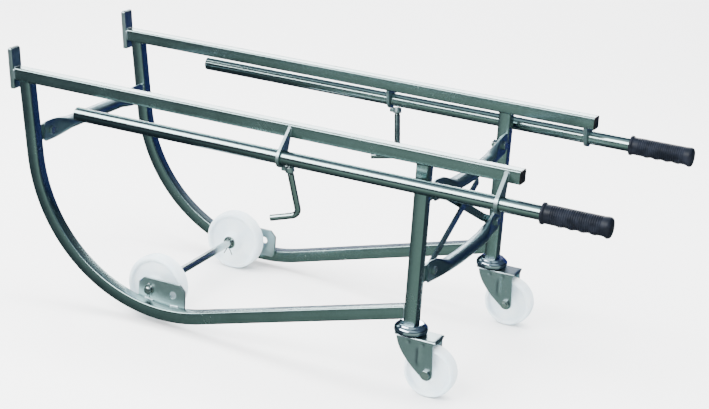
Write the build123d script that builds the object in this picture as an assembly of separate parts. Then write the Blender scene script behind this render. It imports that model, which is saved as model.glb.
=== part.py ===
from build123d import *
from math import acos, asin, atan2, cos, degrees, hypot, pi, radians, sin, tan
import os

# Tilting cradle truck for a steel drum: two square-tube side frames with bent bows, toe lugs at the
# front ends of the rails, an axle with two plain wheels, two swivel casters and two pull-out handles.
#
# Millimetres, +Z up. Pieces are built with x counted from the rails' front end towards the handles,
# y across the truck (left side negative) and z from the floor. save() then moves every piece so that
# the part's origin is the middle of its footprint on the floor.

os.makedirs("parts", exist_ok=True)

# Driving dimensions ---------------------------------------------------------------------------

RUN = 0.06                # radial running clearance of what turns or slides in a bore
LOOSE = 0.3               # air gap between parts that must never touch
TUCK = 0.2                # clearance of plugs and blocks pushed into tubes

TUBE = 25.0               # square tube, outside
WALL = 2.0
TUBE_CORNER = 3.0
RAIL_GAP = 387.0          # clear width between the rails, where the drum lies
RAIL_LENGTH = 1068.0
RAIL_TOP = 470.0

LUG_WIDTH, LUG_THICK, LUG_HEIGHT = 30.0, 10.0, 83.0
LUG_DROP = 17.0           # how far the lug reaches below the rail
LUG_LEAN = 6.0            # degrees, top forward
LUG_BEVEL = 3.0

BOW_SET_BACK = 11.0       # from the rail's front end to the bow's front face, under the rail
BOW_LEAN = 8.0            # degrees, of the straight front leg
BOW_RADIUS = 315.0        # to the middle of the tube
BOW_BOTTOM = 14.6         # lowest point above the floor
BOW_OVER_FOOT = 7.0       # where the rear run meets the post, above the post's foot

REAR_OVERHANG = 172.0     # rail past the rear post

AXLE_RADIUS = 7.5
AXLE_X = 311.0
SPARE_HOLE_STEP = 54.0    # second axle hole, behind the first
SPARE_HOLE_PLAY = 0.15
PLATE_THICK = 5.0
PLATE_AHEAD, PLATE_BEHIND = 25.0, 27.0   # plate past its first and last hole
PLATE_ABOVE = 24.5        # plate above the axle's middle
PLATE_OVER_BOW = 13.4     # plate's lower edge above the bow's lowest point
PLATE_CORNER = 12.0
AXLE_END_MARGIN = 6.0     # axle past the centre of its outer split pin
PIN_RADIUS = 1.5
PIN_PAST = 4.5            # split pin past the axle, at each end
PIN_EYE = 3.2             # radius of the split pin's eye, to the middle of the wire
WASHER_THICK, WASHER_RIM = 2.5, 6.5
WHEEL_PLAY = 0.9          # side play of a wheel between its washers

FRONT_WHEEL_RADIUS, FRONT_WHEEL_WIDTH = 62.5, 32.0
FRONT_HUB_RADIUS, FRONT_HUB_LENGTH = 18.0, 52.0
FRONT_RIM, FRONT_WEB = 11.0, 16.0        # rim depth below the tread, thickness of the disc
TREAD_FILLET = 4.0

CASTER_RADIUS, CASTER_WIDTH = 50.0, 32.0
CASTER_HUB_RADIUS, CASTER_HUB_LENGTH = 15.0, 40.0
CASTER_RIM, CASTER_WEB = 9.0, 14.0
CASTER_TRAIL = 46.0       # from the swivel axis back to the wheel's axle
BUSH_RADIUS, BUSH_PLAY = 8.0, 1.0        # the bush is this much longer than the wheel's hub
CASTER_BOLT_RADIUS = 5.0
CASTER_BOLT_FLATS, CASTER_BOLT_HEAD = 16.0, 6.0
FORK_SHEET = 3.0
FORK_OVER_WHEEL = 13.5    # fork's top plate above the wheel
FORK_NOSE_RADIUS = 30.0
FORK_TAIL = 51.0          # top plate, from the swivel axis to its rear edge
FORK_FOOT_RADIUS = 12.5
DOME_HEIGHT = 10.7        # raised lower race above the fork's top plate
DOME_RADIUS = 25.5
CUP_RADIUS, CUP_SHEET = 32.0, 2.5
CUP_FLAT_RADIUS = 22.0
CUP_SKIRT = 10.0
CUP_SLOPE = 7.0
BALL_RADIUS, BALL_CIRCLE, BALL_COUNT = 3.0, 19.0, 14
BALL_PLAY = 0.15
STEM_RADIUS, STEM_HEAD_RADIUS, STEM_HEAD = 6.0, 10.0, 5.0
STEM_BLOCK = 24.0         # height of the threaded block inside the post

HANDLE_OUT = 28.0         # handle tube's middle, from the rail's outer face
HANDLE_DROP = 43.6        # handle tube's middle, below the rail's middle
HANDLE_RADIUS = 13.45
HANDLE_FRONT = 168.0
HANDLE_PULL = {"left": 0.0, "right": 7.0}    # how far each handle stands out at rest
GRIP_PAST_RAIL = 57.0     # grip's front, behind the rail's rear end
GRIP_LENGTH, GRIP_DEPTH = 126.0, 113.0   # outside, and how far the tube goes in
GRIP_WALL = 5.05
GRIP_FLANGE_WALL, GRIP_FLANGE_THICK = 7.05, 4.0
GRIP_END_WALL, GRIP_END_LENGTH = 6.55, 14.0

GUIDE_WALL = 5.5          # guide plate round the handle tube
GUIDE_DROP = 3.0          # top of the plate's weld below the rail's top
MID_GUIDE_X, MID_GUIDE_THICK = 612.0, 6.0
REAR_GUIDE_INSET, REAR_GUIDE_THICK = 28.0, 8.0

SCREW_BEHIND_GUIDE = 10.0 # screw's axis at the handle tube, from the mid guide's rear face
SCREW_BACK, SCREW_INWARD = 0.17, 0.20    # how the screw leans, per unit of drop
SCREW_RADIUS = 6.0
SCREW_TIP_GAP = 1.55      # tip, from the handle tube's surface
SCREW_ELBOW = 116.0       # elbow, from the handle tube's axis
CRANK_LEG, CRANK_BEND = 55.0, 13.0
CRANK_TURN = {"left": -20.0, "right": 24.0}  # degrees, rest direction of the leg
BOSS_RADIUS, BOSS_GAP, BOSS_LENGTH = 11.5, 3.55, 16.0
BOSS_FOOT = 14.0          # width of the block between boss and guide plate

CROSS_RADIUS = 13.45
CROSS_TIP = 9.5           # blade tip, from the side frame's inner face
CROSS_BOLT_IN = 32.0      # bolt, from the side frame's inner face
CROSS_FLAT = 44.0         # blade's inner end, from the side frame's inner face
CROSS_ROUND = 90.0        # start of the full round tube, from the side frame's inner face
TAB_THICK, TAB_HEIGHT, TAB_PAST_BOLT = 5.0, 34.0, 17.0
FRONT_CROSS_DROP = 106.5  # front tube's middle, below the rails' underside
FRONT_TAB_BACK = 15.0     # front tab's face, behind the bow's front face
REAR_TAB_BACK = 19.0      # rear tabs' face, behind the post's front face
REAR_LOWER_RISE = 93.0    # lower rear bolts, above the posts' feet
REAR_UPPER_DROP = 56.0    # upper rear bolts, below the rails' underside
REAR_DIP = 16.0           # how far the middle of the rear tubes hangs below their blades

BOLT_RADIUS, BOLT_FLATS, BOLT_HEAD, BOLT_NUT, BOLT_PAST_NUT = 5.0, 16.0, 6.4, 8.0, 3.0
BAR_WIDTH, BAR_THICK = 16.0, 4.0
BAR_GAP = 0.35            # between a joggled bar and the round tube beside it
BAR_SEAT, BAR_RAMP = 20.0, 10.0          # flat length at a bolt, length of a joggle's ramp
BAR_PAST_TUBE = 5.0       # height between a joggle's lower end and the upper tube

PLUG_FLANGE, PLUG_DEPTH, PLUG_BEVEL = 3.0, 14.0, 1.2

# Derived places -------------------------------------------------------------------------------

SIDE_Y = RAIL_GAP / 2 + TUBE / 2
INNER_Y = RAIL_GAP / 2
OUTER_Y = INNER_Y + TUBE
RAIL_BOTTOM = RAIL_TOP - TUBE
RAIL_MIDDLE = RAIL_TOP - TUBE / 2
POST_FRONT = RAIL_LENGTH - REAR_OVERHANG - TUBE
POST_X = POST_FRONT + TUBE / 2
FORK_TOP = 2 * CASTER_RADIUS + FORK_OVER_WHEEL + FORK_SHEET
DOME_TOP = FORK_TOP + DOME_HEIGHT
POST_BOTTOM = DOME_TOP + 2 * (BALL_RADIUS + BALL_PLAY) + CUP_SHEET
CUP_BOTTOM = POST_BOTTOM - CUP_SLOPE - CUP_SKIRT
AXLE_Z = FRONT_WHEEL_RADIUS
PLATE_FRONT, PLATE_REAR = AXLE_X - PLATE_AHEAD, AXLE_X + SPARE_HOLE_STEP + PLATE_BEHIND
PLATE_BOTTOM, PLATE_TOP = BOW_BOTTOM + PLATE_OVER_BOW, AXLE_Z + PLATE_ABOVE
PIN_LENGTH = 2 * (AXLE_RADIUS + PIN_PAST)
WASHER_RADIUS = AXLE_RADIUS + WASHER_RIM
PLATE_INNER_Y = INNER_Y - PLATE_THICK
HUB_OUTER_Y = PLATE_INNER_Y - WASHER_THICK - WHEEL_PLAY
FRONT_WHEEL_Y = HUB_OUTER_Y - FRONT_HUB_LENGTH / 2
HUB_INNER_Y = HUB_OUTER_Y - FRONT_HUB_LENGTH
OUTER_PIN_Y = INNER_Y + WASHER_THICK + PIN_RADIUS
INNER_PIN_Y = HUB_INNER_Y - WHEEL_PLAY - WASHER_THICK - PIN_RADIUS
AXLE_END_Y = OUTER_PIN_Y + AXLE_END_MARGIN
FORK_GAP = CASTER_HUB_LENGTH + BUSH_PLAY
FORK_OUTER = FORK_GAP / 2 + FORK_SHEET
BOLT_Y = INNER_Y - CROSS_BOLT_IN
HANDLE_Y = OUTER_Y + HANDLE_OUT
HANDLE_Z = RAIL_MIDDLE - HANDLE_DROP
GUIDE_RING = HANDLE_RADIUS + GUIDE_WALL
REAR_GUIDE_X = RAIL_LENGTH - REAR_GUIDE_INSET
GRIP_FRONT = RAIL_LENGTH + GRIP_PAST_RAIL
HANDLE_LENGTH = GRIP_FRONT + GRIP_DEPTH - HANDLE_FRONT
SCREW_X = MID_GUIDE_X + MID_GUIDE_THICK + SCREW_BEHIND_GUIDE
SCREW_TIP = HANDLE_RADIUS + SCREW_TIP_GAP
BOSS_NEAR = HANDLE_RADIUS + BOSS_GAP
BOSS_FAR = BOSS_NEAR + BOSS_LENGTH
CROSS_BLADE_HEIGHT, CROSS_BLADE_THICK = pi * CROSS_RADIUS, 2 * WALL
BAR_JOGGLE = CROSS_RADIUS + BAR_GAP - TAB_THICK - CROSS_BLADE_THICK / 2
FRONT_CROSS_Z = RAIL_BOTTOM - FRONT_CROSS_DROP
FRONT_TAB_X = BOW_SET_BACK + FRONT_CROSS_DROP * tan(radians(BOW_LEAN)) + FRONT_TAB_BACK
REAR_TAB_X = POST_FRONT + REAR_TAB_BACK
REAR_LOWER_Z, REAR_UPPER_Z = POST_BOTTOM + REAR_LOWER_RISE, RAIL_BOTTOM - REAR_UPPER_DROP
FRONT_BLADE_X = FRONT_TAB_X + TAB_THICK
REAR_BLADE_X = REAR_TAB_X + TAB_THICK
REAR_BAR_X = REAR_TAB_X - BAR_THICK

LUG_TILT = radians(LUG_LEAN)
LUG_RISE = RAIL_MIDDLE - (RAIL_BOTTOM - LUG_DROP)    # lug below the rail's middle
X_LOWEST = -LUG_THICK * cos(LUG_TILT) - (LUG_HEIGHT - LUG_RISE - LUG_BEVEL) * sin(LUG_TILT)
X_HIGHEST = GRIP_FRONT + GRIP_LENGTH + max(HANDLE_PULL.values())
CENTRE_X = round((X_LOWEST + X_HIGHEST) / 2, 1)


def save(name, *solids):
    """Move solids to the part's own frame and write them as one node."""
    shape = solids[0] if len(solids) == 1 else Compound(children=list(solids))
    export_step(Pos(-CENTRE_X, 0, 0) * shape, f"parts/{name}.step")


def left_to_right(shape):
    """Mirror a left-side piece to the right side."""
    return mirror(shape, about=Plane.XZ)


def save_pair(name, left):
    """Save a left-side piece and its mirror image."""
    save(f"left_{name}", left)
    save(f"right_{name}", left_to_right(left))


def block(x, y, z):
    """Box between two x, two y and two z values."""
    size = (x[1] - x[0], y[1] - y[0], z[1] - z[0])
    middle = ((x[0] + x[1]) / 2, (y[0] + y[1]) / 2, (z[0] + z[1]) / 2)
    return Pos(*middle) * Box(*size)


def rod_y(radius, x, z, y0, y1):
    """Round bar along y."""
    return Pos(x, (y0 + y1) / 2, z) * Rot(90, 0, 0) * Cylinder(radius, abs(y1 - y0))


def rod_x(radius, y, z, x0, x1):
    """Round bar along x."""
    return Pos((x0 + x1) / 2, y, z) * Rot(0, 90, 0) * Cylinder(radius, abs(x1 - x0))


def hexagon_x(flats, y, z, x0, x1):
    """Hexagonal prism along x."""
    prism = extrude(RegularPolygon(flats / 2, 6, major_radius=False), abs(x1 - x0))
    return Pos(min(x0, x1), y, z) * Rot(0, 90, 0) * prism


def tube_section():
    """Square tube's section, hollow."""
    inside = TUBE - 2 * WALL
    return RectangleRounded(TUBE, TUBE, TUBE_CORNER) - RectangleRounded(inside, inside, TUBE_CORNER - WALL)


# Side frames ----------------------------------------------------------------------------------


def lug_frame():
    """Place on the rail's slanted front end: z runs up the lug, x points into the rail."""
    return Location((0, -SIDE_Y, RAIL_MIDDLE), (0, -LUG_LEAN, 0))


def top_rail():
    """Square tube with its front end cut to the lean of the lug."""
    start = Plane(origin=(-TUBE, -SIDE_Y, RAIL_MIDDLE), x_dir=(0, 1, 0), z_dir=(1, 0, 0))
    rail = extrude(start * tube_section(), RAIL_LENGTH + TUBE)
    cutter = lug_frame() * Pos(-TUBE * 2, 0, 0) * Box(TUBE * 4, TUBE * 3, TUBE * 6)
    return rail - cutter


def toe_lug():
    """Flat bar with bevelled top edges, welded across the rail's front end."""
    bar = Pos(-LUG_THICK / 2, 0, LUG_HEIGHT / 2 - LUG_RISE) * Box(LUG_THICK, LUG_WIDTH, LUG_HEIGHT)
    bar = chamfer(bar.faces().sort_by(Axis.Z)[-1].edges(), LUG_BEVEL)
    return lug_frame() * bar


def rail_end_plug():
    """Plastic plug with a square flange, in the rail's rear end."""
    flange = block((RAIL_LENGTH, RAIL_LENGTH + PLUG_FLANGE),
                   (-SIDE_Y - TUBE / 2, -SIDE_Y + TUBE / 2), (RAIL_BOTTOM, RAIL_TOP))
    flange = chamfer(flange.faces().sort_by(Axis.X)[-1].edges(), PLUG_BEVEL)
    half = TUBE / 2 - WALL - TUCK
    stub = block((RAIL_LENGTH - PLUG_DEPTH, RAIL_LENGTH), (-SIDE_Y - half, -SIDE_Y + half),
                 (RAIL_MIDDLE - half, RAIL_MIDDLE + half))
    stub = chamfer(stub.edges().filter_by(Axis.X), TUBE_CORNER - WALL)
    return flange + stub


def bow_tube():
    """Square tube: leaning front leg, large bend under the wheels' axle, long rising run."""
    lean = radians(BOW_LEAN)
    down = (sin(lean), -cos(lean))
    outer_radius = BOW_RADIUS + TUBE / 2
    start = (BOW_SET_BACK + TUBE / 2 / cos(lean), RAIL_BOTTOM)
    centre_z = BOW_BOTTOM + outer_radius
    leg = (start[1] - centre_z + BOW_RADIUS * sin(lean)) / cos(lean)
    bend_in = (start[0] + leg * down[0], start[1] + leg * down[1])
    start = (start[0] - TUBE * down[0], start[1] - TUBE * down[1])
    centre = (bend_in[0] + BOW_RADIUS * cos(lean), centre_z)
    foot = (POST_FRONT - centre[0], POST_BOTTOM + BOW_OVER_FOOT - centre[1])
    rise = atan2(foot[1], foot[0]) + asin(outer_radius / hypot(*foot))

    def on_bend(angle):
        return (centre[0] + BOW_RADIUS * cos(angle), centre[1] + BOW_RADIUS * sin(angle))

    first, last = lean + radians(180), radians(270) + rise
    bend_out = on_bend(last)
    end_x = POST_FRONT + TUBE
    end = (end_x, bend_out[1] + (end_x - bend_out[0]) * tan(rise))
    points = [(x, -SIDE_Y, z) for x, z in (start, bend_in, on_bend((first + last) / 2), bend_out, end)]
    path = Line(points[0], points[1]) + ThreePointArc(*points[1:4]) + Line(points[3], points[4])
    section = Plane(origin=points[0], x_dir=(0, 1, 0), z_dir=(down[0], 0, down[1])) * tube_section()
    bow = sweep(section, path=path)
    side = (-SIDE_Y - TUBE, -SIDE_Y + TUBE)
    above = block((-TUBE * 2, POST_FRONT), side, (RAIL_BOTTOM, RAIL_TOP + TUBE * 2))
    behind = block((POST_FRONT, POST_FRONT + TUBE * 4), side, (0, RAIL_TOP))
    return bow - above - behind


def rear_post():
    """Upright square tube between the rail and the caster's cup."""
    foot = Plane(origin=(POST_X, -SIDE_Y, POST_BOTTOM))
    return extrude(foot * tube_section(), RAIL_BOTTOM - POST_BOTTOM)


def axle_bracket():
    """Plate welded inside the bow, with the axle's hole and a spare hole behind it."""
    plate = block((PLATE_FRONT, PLATE_REAR), (-INNER_Y, -PLATE_INNER_Y), (PLATE_BOTTOM, PLATE_TOP))
    upright = plate.edges().filter_by(Axis.Y).sort_by(Axis.Z)
    plate = chamfer(upright[-2:], PLATE_CORNER)
    plate = chamfer(plate.edges().filter_by(Axis.Y).sort_by(Axis.Z)[:2], PLATE_CORNER / 2)
    past = PLATE_THICK
    holes = rod_y(AXLE_RADIUS, AXLE_X, AXLE_Z, -INNER_Y - past, -PLATE_INNER_Y + past)
    spare = rod_y(AXLE_RADIUS + SPARE_HOLE_PLAY, AXLE_X + SPARE_HOLE_STEP, AXLE_Z,
                  -INNER_Y - past, -PLATE_INNER_Y + past)
    return plate - holes - spare


save_pair("top_rail", top_rail())
save_pair("toe_lug", toe_lug())
save_pair("rail_end_plug", rail_end_plug())
save_pair("bow_tube", bow_tube())
save_pair("rear_post", rear_post())
save_pair("axle_bracket", axle_bracket())


# Handles, guides and clamps -------------------------------------------------------------------


def tangent_point(point, side):
    """Where a line from a point touches the guide's ring, on one side of it."""
    dy, dz = point[0] + HANDLE_Y, point[1] - HANDLE_Z
    angle = atan2(dz, dy) + side * acos(GUIDE_RING / hypot(dy, dz))
    return (-HANDLE_Y + GUIDE_RING * cos(angle), HANDLE_Z + GUIDE_RING * sin(angle))


def guide_plate(x, thick):
    """Drop-shaped plate: welded to the rail's outer side, with a ring round the handle tube."""
    high, low = (-OUTER_Y, RAIL_TOP - GUIDE_DROP), (-OUTER_Y, RAIL_BOTTOM)
    outer, inner = tangent_point(high, 1), tangent_point(low, -1)
    bottom = (-HANDLE_Y, HANDLE_Z - GUIDE_RING)
    outline = Polyline(inner, low, high, outer) + ThreePointArc(outer, bottom, inner)
    plane = Plane(origin=(x, 0, 0), x_dir=(0, 1, 0), z_dir=(1, 0, 0))
    plate = extrude(plane * make_face(outline), thick)
    return plate - rod_x(HANDLE_RADIUS + RUN, -HANDLE_Y, HANDLE_Z, x - thick, x + 2 * thick)


def screw_direction():
    """Unit vector down the left clamp screw."""
    return Vector(SCREW_BACK, SCREW_INWARD, -1).normalized()


def along_screw(distance):
    """Point on the left screw's axis, at a distance from the handle tube's axis."""
    return Vector(SCREW_X, -HANDLE_Y, HANDLE_Z) + screw_direction() * distance


def screw_cylinder(radius, near, far):
    """Cylinder round the left screw's axis."""
    start = Plane(origin=along_screw(near), z_dir=screw_direction())
    return extrude(start * Circle(radius), far - near)


def clamp_boss():
    """Threaded boss for the clamp screw, with a foot on the mid guide's rear face."""
    middle = along_screw((BOSS_NEAR + BOSS_FAR) / 2)
    top = HANDLE_Z - HANDLE_RADIUS - 2
    foot = block((MID_GUIDE_X + MID_GUIDE_THICK, middle.X),
                 (middle.Y - BOSS_FOOT / 2, middle.Y + BOSS_FOOT / 2),
                 (HANDLE_Z - BOSS_FAR + 1, top))
    boss = screw_cylinder(BOSS_RADIUS, BOSS_NEAR, BOSS_FAR) + foot
    behind_guide = block((MID_GUIDE_X - TUBE, MID_GUIDE_X + MID_GUIDE_THICK),
                         (-HANDLE_Y - TUBE * 2, 0), (RAIL_BOTTOM - TUBE * 5, RAIL_TOP))
    bore = screw_cylinder(SCREW_RADIUS + RUN, BOSS_NEAR - TUBE, BOSS_FAR + TUBE)
    return boss - behind_guide - bore


def clamp_crank(turn):
    """Round bar: threaded shank up to the handle tube, bend and turning leg."""
    shank = screw_direction()
    forward = Vector(-1, 0, 0)
    forward = (forward - shank * forward.dot(shank)).normalized()
    aside = shank.cross(forward)
    leg = forward * cos(radians(turn)) + aside * sin(radians(turn))
    elbow = along_screw(SCREW_ELBOW)
    path = FilletPolyline(along_screw(SCREW_TIP), elbow, elbow + leg * CRANK_LEG, radius=CRANK_BEND)
    return sweep(Plane(origin=path @ 0, z_dir=path % 0) * Circle(SCREW_RADIUS), path=path)


def handle_tube(pull):
    """Round tube that slides through both guides."""
    front = HANDLE_FRONT + pull
    tube = rod_x(HANDLE_RADIUS, -HANDLE_Y, HANDLE_Z, front, front + HANDLE_LENGTH)
    return tube - rod_x(HANDLE_RADIUS - WALL, -HANDLE_Y, HANDLE_Z, front, front + HANDLE_LENGTH)


def handle_grip(pull):
    """Rubber sleeve with a front flange and a thicker closed end."""
    front = GRIP_FRONT + pull
    rear = front + GRIP_LENGTH
    sleeve = rod_x(HANDLE_RADIUS + GRIP_WALL, -HANDLE_Y, HANDLE_Z, front, rear)
    flange = rod_x(HANDLE_RADIUS + GRIP_FLANGE_WALL, -HANDLE_Y, HANDLE_Z, front, front + GRIP_FLANGE_THICK)
    knob = rod_x(HANDLE_RADIUS + GRIP_END_WALL, -HANDLE_Y, HANDLE_Z, rear - GRIP_END_LENGTH, rear)
    knob = fillet(knob.edges().filter_by(GeomType.CIRCLE).sort_by(Axis.X)[-1], GRIP_END_LENGTH / 3)
    bore = rod_x(HANDLE_RADIUS, -HANDLE_Y, HANDLE_Z, front - 1, HANDLE_FRONT + pull + HANDLE_LENGTH)
    return sleeve + flange + knob - bore


save_pair("mid_guide", guide_plate(MID_GUIDE_X, MID_GUIDE_THICK))
save_pair("rear_guide", guide_plate(REAR_GUIDE_X, REAR_GUIDE_THICK))
save_pair("clamp_boss", clamp_boss())
for side_name, to_side in (("left", lambda shape: shape), ("right", left_to_right)):
    save(f"{side_name}_clamp_crank", to_side(clamp_crank(CRANK_TURN[side_name])))
    save(f"{side_name}_handle_tube", to_side(handle_tube(HANDLE_PULL[side_name])))
    save(f"{side_name}_handle_grip", to_side(handle_grip(HANDLE_PULL[side_name])))


# Wheels and axle ------------------------------------------------------------------------------


def wheel(radius, width, rim, web, hub_radius, hub_length, bore):
    """Moulded wheel with its axis along y: rim, thinner disc, long hub and plain bore."""
    inner = radius - rim
    half = [(bore, hub_length / 2), (hub_radius, hub_length / 2), (hub_radius, web / 2),
            (inner, web / 2), (inner, width / 2), (radius, width / 2)]
    outline = half + [(r, -a) for r, a in reversed(half)]
    solid = revolve(make_face(Polyline(*outline, close=True)), Axis.Y)
    tread = [edge for edge in solid.edges().filter_by(GeomType.CIRCLE) if edge.radius > radius - rim / 2]
    return fillet(tread, TREAD_FILLET)


def split_pin(y):
    """Wire pin through the axle, with an eye on top."""
    eye_z = AXLE_Z + PIN_LENGTH / 2 + PIN_EYE
    shank = Pos(AXLE_X, y, AXLE_Z) * Cylinder(PIN_RADIUS, PIN_LENGTH)
    eye = Pos(AXLE_X, y, eye_z) * Rot(90, 0, 0) * Torus(PIN_EYE, PIN_RADIUS * 0.9)
    return shank + eye


def axle_washer(y_near, y_far):
    """Flat washer on the axle."""
    past = WASHER_THICK
    return (rod_y(WASHER_RADIUS, AXLE_X, AXLE_Z, y_near, y_far)
            - rod_y(AXLE_RADIUS, AXLE_X, AXLE_Z, y_near - past, y_far + past))


pin_places = [side * y for side in (-1, 1) for y in (INNER_PIN_Y, OUTER_PIN_Y)]
axle = rod_y(AXLE_RADIUS, AXLE_X, AXLE_Z, -AXLE_END_Y, AXLE_END_Y)
axle = chamfer(axle.edges().filter_by(GeomType.CIRCLE), 1)
for pin_y in pin_places:
    axle -= Pos(AXLE_X, pin_y, AXLE_Z) * Cylinder(PIN_RADIUS, AXLE_RADIUS * 3)
save("front_axle", axle)
save("split_pins", *[split_pin(pin_y) for pin_y in pin_places])
washer_spans = [(INNER_PIN_Y + PIN_RADIUS, INNER_PIN_Y + PIN_RADIUS + WASHER_THICK),
                (PLATE_INNER_Y - WASHER_THICK, PLATE_INNER_Y), (INNER_Y, INNER_Y + WASHER_THICK)]
save("axle_washers", *[axle_washer(*sorted((side * near, side * far)))
                       for side in (-1, 1) for near, far in washer_spans])

front_wheel = wheel(FRONT_WHEEL_RADIUS, FRONT_WHEEL_WIDTH, FRONT_RIM, FRONT_WEB,
                    FRONT_HUB_RADIUS, FRONT_HUB_LENGTH, AXLE_RADIUS + RUN)
save_pair("front_wheel", Pos(AXLE_X, -FRONT_WHEEL_Y, AXLE_Z) * front_wheel)


# Swivel casters, built round their own axis and then set under the post -----------------------


def turned(*outline):
    """Solid of revolution about the swivel axis from (radius, height) points."""
    plane = Plane(origin=(0, 0, 0), x_dir=(1, 0, 0), z_dir=(0, -1, 0))
    return revolve(plane * make_face(Polyline(*outline, close=True)), Axis.Z)


def under_post(shape):
    """Move a caster piece under the left rear post."""
    return Pos(POST_X, -SIDE_Y, 0) * shape


def caster_cup():
    """Pressed cup that holds the ball race, open below."""
    shoulder = POST_BOTTOM - CUP_SLOPE
    slope_run = CUP_RADIUS - CUP_FLAT_RADIUS
    inset = CUP_SHEET * slope_run / hypot(slope_run, CUP_SLOPE)
    return turned((STEM_RADIUS, POST_BOTTOM), (CUP_FLAT_RADIUS, POST_BOTTOM), (CUP_RADIUS, shoulder),
                  (CUP_RADIUS, CUP_BOTTOM), (CUP_RADIUS - CUP_SHEET, CUP_BOTTOM),
                  (CUP_RADIUS - CUP_SHEET, shoulder - inset / 2),
                  (CUP_FLAT_RADIUS - inset / 2, POST_BOTTOM - CUP_SHEET),
                  (STEM_RADIUS, POST_BOTTOM - CUP_SHEET))


def caster_fork():
    """Pressed fork: top plate with a raised race and two tapering legs to the wheel's axle."""
    under = FORK_TOP - FORK_SHEET
    plate = Pos(0, 0, under) * extrude(Circle(FORK_NOSE_RADIUS), FORK_SHEET)
    plate += block((0, FORK_TAIL), (-FORK_OUTER, FORK_OUTER), (under, FORK_TOP))
    plate -= Pos(0, 0, under) * Cylinder(DOME_RADIUS - FORK_SHEET, FORK_SHEET * 4)
    slope = DOME_HEIGHT / 3
    dome = turned((STEM_RADIUS + RUN, DOME_TOP), (DOME_RADIUS - slope, DOME_TOP), (DOME_RADIUS, under),
                  (DOME_RADIUS - FORK_SHEET, under),
                  (DOME_RADIUS - FORK_SHEET - slope, DOME_TOP - FORK_SHEET),
                  (STEM_RADIUS + RUN, DOME_TOP - FORK_SHEET))
    nose = (-(FORK_NOSE_RADIUS ** 2 - FORK_OUTER ** 2) ** 0.5, under)

    def foot(angle):
        return (CASTER_TRAIL - FORK_FOOT_RADIUS * cos(radians(angle)),
                CASTER_RADIUS - FORK_FOOT_RADIUS * sin(radians(angle)))

    chord = ((nose[0] + foot(33)[0]) / 2, (nose[1] + foot(33)[1]) / 2)
    bulge = (chord[0] - 8, chord[1] - 6)
    edge = (ThreePointArc(nose, bulge, foot(33)) + ThreePointArc(foot(33), foot(100), foot(180))
            + Line(foot(180), (FORK_TAIL - 1, under)) + Line((FORK_TAIL - 1, under), nose))
    plane = Plane(origin=(0, 0, 0), x_dir=(1, 0, 0), z_dir=(0, -1, 0))
    leg = extrude(plane * make_face(edge), FORK_SHEET)
    legs = Pos(0, -FORK_GAP / 2, 0) * leg + Pos(0, FORK_OUTER, 0) * leg
    hole = rod_y(CASTER_BOLT_RADIUS, CASTER_TRAIL, CASTER_RADIUS, -FORK_OUTER * 2, FORK_OUTER * 2)
    return plate + dome + legs - hole


def caster_stem():
    """King pin with a head below the race."""
    head_top = DOME_TOP - FORK_SHEET - LOOSE
    head = Pos(0, 0, head_top - STEM_HEAD / 2) * Cylinder(STEM_HEAD_RADIUS, STEM_HEAD)
    length = POST_BOTTOM + STEM_BLOCK - head_top
    return head + Pos(0, 0, head_top + length / 2) * Cylinder(STEM_RADIUS, length)


def stem_block():
    """Square block inside the post's foot that takes the king pin."""
    size = TUBE - 2 * WALL - 2 * TUCK
    blank = Pos(0, 0, POST_BOTTOM + STEM_BLOCK / 2) * Box(size, size, STEM_BLOCK)
    blank = chamfer(blank.edges().filter_by(Axis.Z), TUBE_CORNER - WALL)
    return blank - Pos(0, 0, POST_BOTTOM) * Cylinder(STEM_RADIUS, STEM_BLOCK * 3)


def caster_balls():
    """Ring of balls between the cup and the raised race."""
    height = (DOME_TOP + POST_BOTTOM - CUP_SHEET) / 2
    return [Pos(*place) * Sphere(BALL_RADIUS) for place in
            [(BALL_CIRCLE * cos(radians(360 * i / BALL_COUNT)),
              BALL_CIRCLE * sin(radians(360 * i / BALL_COUNT)), height) for i in range(BALL_COUNT)]]


def caster_bush():
    """Steel sleeve clamped between the fork's legs, on which the wheel turns."""
    half = FORK_GAP / 2
    return (rod_y(BUSH_RADIUS, CASTER_TRAIL, CASTER_RADIUS, -half, half)
            - rod_y(CASTER_BOLT_RADIUS, CASTER_TRAIL, CASTER_RADIUS, -half - 1, half + 1))


def hexagon_y(flats, y0, y1):
    """Hexagonal prism round the caster's axle."""
    prism = extrude(RegularPolygon(flats / 2, 6, major_radius=False), abs(y1 - y0))
    return Pos(CASTER_TRAIL, max(y0, y1), CASTER_RADIUS) * Rot(90, 0, 0) * prism


def caster_axle_bolt():
    """Bolt through the fork's legs and the bush, head outside."""
    end = FORK_OUTER + CASTER_BOLT_HEAD + 3
    shank = rod_y(CASTER_BOLT_RADIUS, CASTER_TRAIL, CASTER_RADIUS, -FORK_OUTER, end)
    return shank + hexagon_y(CASTER_BOLT_FLATS, -FORK_OUTER - CASTER_BOLT_HEAD, -FORK_OUTER)


def caster_axle_nut():
    """Nut on the inner end of the caster's bolt."""
    nut = hexagon_y(CASTER_BOLT_FLATS, FORK_OUTER, FORK_OUTER + CASTER_BOLT_HEAD)
    return nut - rod_y(CASTER_BOLT_RADIUS, CASTER_TRAIL, CASTER_RADIUS, FORK_OUTER - 1, FORK_OUTER * 2)


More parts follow.
